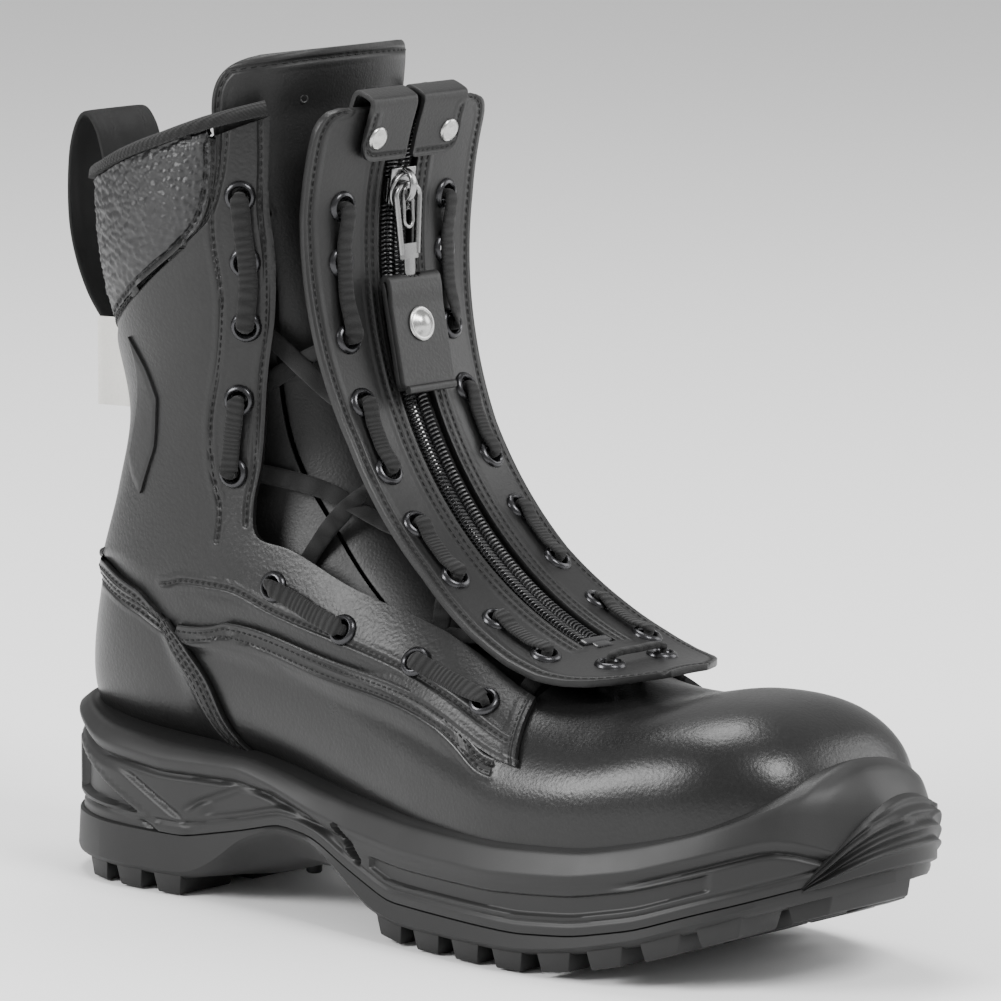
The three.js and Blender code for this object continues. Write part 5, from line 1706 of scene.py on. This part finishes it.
    def relief(self, y: Array, z: Array, low: Array, lip: Array) -> Array:
        """How far the wall stands out, in millimetres."""
        r = 1.35 * bump_at(z, lip - 2.6, 2.3)
        r = r - 1.5 * bump_at(z, lip - 6.9, 0.95) * smooth(-146, -139, y)
        r = r - 1.1 * bump_at(z, lip - 6.4, 0.8) * (1 - smooth(-262, -240, y))
        r = r - 0.7 * bump_at(z, low + 3.4, 0.7)
        arch = self.near_line(y, z, self.arch_line)
        line = table(self.arch_line, y)
        r = r - 1.2 * bump_at(arch, 0, 0.9) * smooth(-142, -138, y) * (1 - smooth(-74, -68, y))
        span = smooth(-138, -134, y) * (1 - smooth(-82, -76, y))
        r = r - 0.9 * smooth(0, 1.2, line - z) * span * smooth(0.5, 2, z - low - 4)
        slot = self.near_line(y, z, ((-137, 31), (-146, 22.5)))
        r = r - 3.2 * (1 - smooth(0.8, 1.6, slot))
        top = self.eased(self.lip, y) - 8.2
        pane = np.minimum(np.minimum(-152 - y, y + 276), np.minimum(top - z, z - low - 5.4))
        r = r - 1.3 * smooth(-0.3, 0.7, pane)
        tri = self.inside(y, z, ((-15.5, 38.5), (-15.5, 25.5), (-50, 23.5)))
        r = r + 0.9 * smooth(-2.4, -1.6, tri) * (1 - smooth(-0.5, 0.3, tri)) - 1.5 * smooth(-0.3, 0.8, tri)
        strap = self.near_line(y, z, ((-8, 47), (-70, 18)))
        edge = smooth(1, 3, lip - 7.6 - z)
        r = r + 0.7 * (1 - smooth(3.4, 4.2, strap)) * smooth(-74, -68, y) * edge * (tri < -2)
        r = r - 0.8 * bump_at(strap, 4.9, 0.6) * smooth(-72, -66, y) * edge * (tri < -2.6)
        for height in (24, 30, 36):
            r = r + 1.3 * bump_at(z, height, 1.25) * smooth(-13, -9, y)
        return r

    def midsole(self) -> bpy.types.Object:
        """The foamed midsole's wall and lip."""
        even, out = self.ring()
        t = np.linspace(0.02, 13.6, 150)[:, None]
        deg = np.linspace(-180, 180, 181)[None]
        form = world(FORM.skin(t, deg + 0 * t, -0.8))
        n = np.arange(150 * 181).reshape(150, 181)
        quads = np.stack([n[:-1, :-1], n[:-1, 1:], n[1:, 1:], n[1:, :-1]], -1).reshape(-1, 4)
        tree = BVHTree.FromPolygons(form.reshape(-1, 3).tolist(), quads.tolist())
        facing = self.facing(tree)
        reach = np.full(len(even), 22.0)
        for i, (p, o) in enumerate(zip(even, out)):
            for d in np.arange(1.5, 30, 0.75):
                x, y = p - o * d
                q = world(np.array([x, y, float(self.lip_top(x, y))]))
                hit, normal = tree.find_nearest(Vector(q))[:2]
                if (Vector(q) - hit).dot(normal) * facing < 0:
                    reach[i] = d + 0.9
                    break
        reach = np.convolve(np.pad(reach, 6, mode="wrap"), np.ones(13) / 13, "valid")
        y = even[:, 1:2]
        low, lip = self.eased(self.split, y), self.eased(self.lip, y)
        f = np.linspace(0, 1, 46)[None]
        z = blend(low - 0.1, lip - 1.6, f)
        r = self.relief(y + 0 * z, z, low, lip)
        wall = np.stack([even[:, :1] + out[:, :1] * r, y + out[:, 1:] * r, z], -1)
        g = np.linspace(0, 1, 14)[None]
        d = blend(0.9, reach[:, None], g)
        x_in, y_in = even[:, :1] - out[:, :1] * d, y - out[:, 1:] * d
        top_z = self.lip_top(x_in, y_in) + 0.35 * np.sin(np.pi * np.minimum(g * 3, 1))
        top = np.stack([x_in, y_in, top_z], -1)
        bottom = top[:, -1:].copy()
        bottom[..., 2] = low + 1
        rings = np.concatenate([wall, top, bottom], 1)
        obj = tube("midsole_moulded", rings, caps=False, loop=True)
        return dress(obj, MIDSOLE, nodes=["midsole"], angle=50)

    def facing(self, tree: BVHTree) -> float:
        """Whether the form's faces look out (1) or in (-1)."""
        far = Vector(world(np.array([0.0, -400.0, 60.0])))
        hit, normal = tree.find_nearest(far)[:2]
        return 1.0 if (far - hit).dot(normal) > 0 else -1.0

    def outsole(self) -> bpy.types.Object:
        """The rubber outsole's rand and its floor."""
        y = -2.8 - 307 * (0.5 - 0.5 * np.cos(np.linspace(0, np.pi, 200)))
        edge, mid = self.eased(self.ground, y), self.eased(self.ground_middle, y)
        high = self.eased(self.split, y) - 0.12
        flare = 0.04 * smooth(-70, -40, y)
        near, far = self.edge(y, True), self.edge(y, False)
        shares = [(-0.94, 0), (-0.8, 0.35), (-0.55, 1), (0, 1), (0.55, 1), (0.8, 0.35), (0.94, 0),
                  (0.99, -1), (1.012, -2), (1.0, -3), (0.975, -4), (0, -4), (-0.975, -4), (-1.0, -3),
                  (-1.012, -2), (-0.99, -1)]
        rings = []
        for i in range(len(y)):
            row = []
            for share, kind in shares:
                z = {0: edge[i], 0.35: blend(edge[i], mid[i], 0.6), 1: mid[i], -1: edge[i] + 1.0,
                     -2: edge[i] + 2.4, -3: max(high[i] - 0.5, edge[i] + 2.6), -4: high[i]}[kind]
                grow = 1 + (flare[i] if kind > -3 else flare[i] * 0.8)
                x = share * (near[i] if share < 0 else far[i]) * grow
                if share == 0:
                    x = (far[i] - near[i]) / 2
                row.append((x, -42 + (y[i] + 42) * grow if y[i] > -42 else y[i], z))
            rings.append(row)
        body = tube("outsole_body", np.array(rings))
        lugs = [body]
        for y0 in (-20, -36, -52, -68):
            wide = 0.86 if y0 == -20 else 0.99
            for a, b in ((-wide, -0.42), (0.42, wide), (-0.24, 0.24)):
                lugs.append(self.lug(y0, y0 + 11.5, a, b))
        for mid_y in (-160, -177, -194, -211, -228, -245, -262, -278):
            for a, b in ((-0.985, -0.49), (0.49, 0.985)):
                lugs.append(self.lug(mid_y - 6, mid_y + 6, a, b))
            lugs.append(self.lug(mid_y - 5, mid_y + 5, -0.34, 0.34))
        lugs.append(self.lug(-300, -289, -0.7, 0.7))
        for y0 in (-92, -104, -116, -128):
            for x in (-9, 7):
                lugs.append(self.stud(x, y0))
        obj = weld("outsole_treaded", lugs)
        return dress(obj, TREAD, nodes=["outsole"], angle=35)

    def lug(self, y0: float, y1: float, a: float, b: float) -> bpy.types.Object:
        """One tapered lug between two shares of the width."""
        drop = 5.0

        def place(u: Array, v: Array, w: Array) -> Array:
            """Follow the outline and taper to the ground."""
            y = blend(y0, y1, v)
            shrink = 1.3 * (1 - w)
            y = y + np.where(v > 0.5, -shrink, shrink)
            edge = np.where(u < 0, self.edge(y, True), self.edge(y, False))
            x = u * edge
            inner = np.where(np.isclose(np.abs(u), max(abs(a), abs(b)), atol=0.02), 0.9, 1.2) * (1 - w)
            x = x - np.where(np.isclose(u, max(a, b)), inner, np.where(np.isclose(u, min(a, b)), -inner, 0))
            floor = self.eased(self.ground, y)
            flare = 1 + 0.04 * smooth(-70, -40, y)
            return np.stack([x * flare, y, floor + blend(-drop, 1.5, w)], -1)

        return block("lug", place, (a, b, 0, 1, 0, 1), 0.55)

    def stud(self, x: float, y: float) -> bpy.types.Object:
        """A small round stud under the arch."""
        z = float(self.eased(self.ground_middle, y))
        profile = [(2.6, 1.0), (2.4, -1.6), (2.0, -2.1), (0.05, -2.2)]
        return turned("stud", profile, np.array([x, y, z]), np.array([0, 0, 1.0]), 16)

    def toe_guard(self) -> bpy.types.Object:
        """The rubber guard with its three ridges."""
        f = np.linspace(0, 1, 60)[None]
        raw = spline(self.outline, np.linspace(14.1, 18.6, 130), closed=True)
        way = np.gradient(raw, axis=0)
        out = unit(np.c_[way[:, 1], -way[:, 0]])
        out[np.sum(out * (raw - [2, -250]), 1) < 0] *= -1
        side = np.abs(np.linspace(-1, 1, 130))[:, None]
        low = self.eased(self.split, raw[:, 1:]) - 1.5
        tall = 19.0 * (1 - side**2.6) + 1.5
        z = low + tall * f
        d = np.linspace(0.9, 26, 60)[None]
        x_in, y_in = raw[:, :1] - out[:, :1] * d, raw[:, 1:] - out[:, 1:] * d
        roof = np.maximum.accumulate(self.lip_top(x_in, y_in), axis=1)
        back_off = np.array([np.interp(q, h, d[0], left=0.0) for q, h in zip(z, roof)])
        kernel = np.ones(5) / 5
        back_off = np.array([np.convolve(np.pad(q, 2, mode="edge"), kernel, "valid") for q in back_off])
        r = 2.0 * smooth(0, 0.08, f) * (1 - smooth(0.95, 1.0, f))
        for centre in (0.34, 0.56, 0.78):
            r = r + 1.2 * bump_at(f, centre, 0.045) - 0.5 * bump_at(f, centre + 0.09, 0.045)
        r = r * (0.3 + 0.7 * (1 - smooth(0.85, 1, side))) - back_off
        outer = np.stack([raw[:, :1] + out[:, :1] * r, raw[:, 1:] + out[:, 1:] * r, z], -1)
        r = -back_off - 1.5
        back = np.stack([raw[:, :1] + out[:, :1] * r, raw[:, 1:] + out[:, 1:] * r, z - 0.5], -1)
        rings = np.concatenate([outer, back[:, ::-1]], 1)
        return dress(tube("toe_guard_ridged", rings), TREAD, nodes=["toe_guard"], angle=45)

    def build(self) -> None:
        """Build the whole sole."""
        self.midsole()
        self.outsole()
        self.toe_guard()


# ---------------------------------------------------------------- insides and studio
@dataclass
class Insides:
    """Layers that stay as they were designed, each with its own finish."""

    finishes: dict = field(default_factory=lambda: {
        "vamp_lining": LINING, "footbed": Plain("foam", (0.035, 0.035, 0.037), 0.85, 700.0),
        "shaft_padding": Plain("foam", (0.02, 0.02, 0.021), 0.9, 500.0),
        "heel_stiffener": Plain("plate", (0.5, 0.47, 0.38), 0.65),
        "puncture_plate": Plain("plate", (0.62, 0.55, 0.25), 0.75, 1200.0),
        "toe_cap": Plain("cap_shell", (0.12, 0.13, 0.14), 0.45), "shank": NICKEL})

    def build(self) -> None:
        """Give each carried-over node its material."""
        for name, finish in self.finishes.items():
            obj = frame["nodes"][name]
            obj.data.materials.clear()
            obj.data.materials.append(finish.material())
            LOG.info("%s: %s", name, type(finish).__name__)


@dataclass
class Studio:
    """Pale floor, soft lights and the camera."""

    target: tuple[float, float, float] = (1.5392, 3.2591, 120.0)
    azimuth: float = -48.0
    elevation: float = 9.0
    distance: float = 2400.0

    def floor(self) -> None:
        """A plain pale floor."""
        deselect()
        bpy.ops.mesh.primitive_plane_add(size=14, location=(0, 0, -0.0005))
        obj = bpy.context.object
        obj.name = "floor"
        sheet = Shader("floor")
        sheet.set(Base_Color=(0.93, 0.93, 0.93, 1), Roughness=0.9, Specular_IOR_Level=0.1)
        obj.data.materials.append(sheet.material)

    def lamp(self, name: str, place: Sequence[float], size: float, power: float) -> None:
        """A soft square light aimed at the boot."""
        deselect()
        bpy.ops.object.light_add(type="AREA", location=place)
        obj = bpy.context.object
        obj.name = name
        obj.data.size = size
        obj.data.energy = power
        way = Vector((0, 0, 0.12)) - Vector(place)
        obj.rotation_euler = way.to_track_quat("-Z", "Y").to_euler()

    def camera(self) -> None:
        """The camera at the boot's outer front quarter."""
        a, e = math.radians(self.azimuth), math.radians(self.elevation)
        back = Vector((math.sin(a) * math.cos(e), -math.cos(a) * math.cos(e), math.sin(e)))
        target = Vector(self.target) * MM
        deselect()
        bpy.ops.object.camera_add(location=target + back * self.distance * MM)
        obj = bpy.context.object
        obj.rotation_euler = back.to_track_quat("Z", "Y").to_euler()
        obj.data.lens = 292.7
        obj.data.sensor_width = 36
        obj.data.shift_x = 22.9 / 1001
        obj.data.shift_y = 13 / 1001
        obj.data.clip_end = 50
        bpy.context.scene.camera = obj

    def build(self) -> None:
        """Set the stage."""
        self.floor()
        self.lamp("key", (-0.15, -1.35, 1.5), 0.7, 34)
        self.lamp("rim", (-1.5, 0.75, 1.0), 0.8, 40)
        self.lamp("fill", (1.5, -1.0, 0.8), 1.2, 20)
        self.lamp("top", (0.3, 0.5, 1.9), 0.9, 26)
        world_ = bpy.data.worlds.new("studio")
        world_.use_nodes = True
        world_.node_tree.nodes["Background"].inputs[0].default_value = (1, 1, 1, 1)
        world_.node_tree.nodes["Background"].inputs[1].default_value = 0.62
        bpy.context.scene.world = world_
        self.camera()


def main() -> None:
    """Build every sub-assembly in order."""
    logging.basicConfig(level=logging.INFO, format="%(name)s %(message)s")
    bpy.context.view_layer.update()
    upper, zip_ = Upper(), ZipAssembly()
    for builder in (Insides(), Sole(), upper, zip_, Lacing(upper, zip_), Studio()):
        LOG.info("building %s", type(builder).__name__)
        builder.build()
    deselect()
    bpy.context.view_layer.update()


if __name__ == "__main__":
    main()
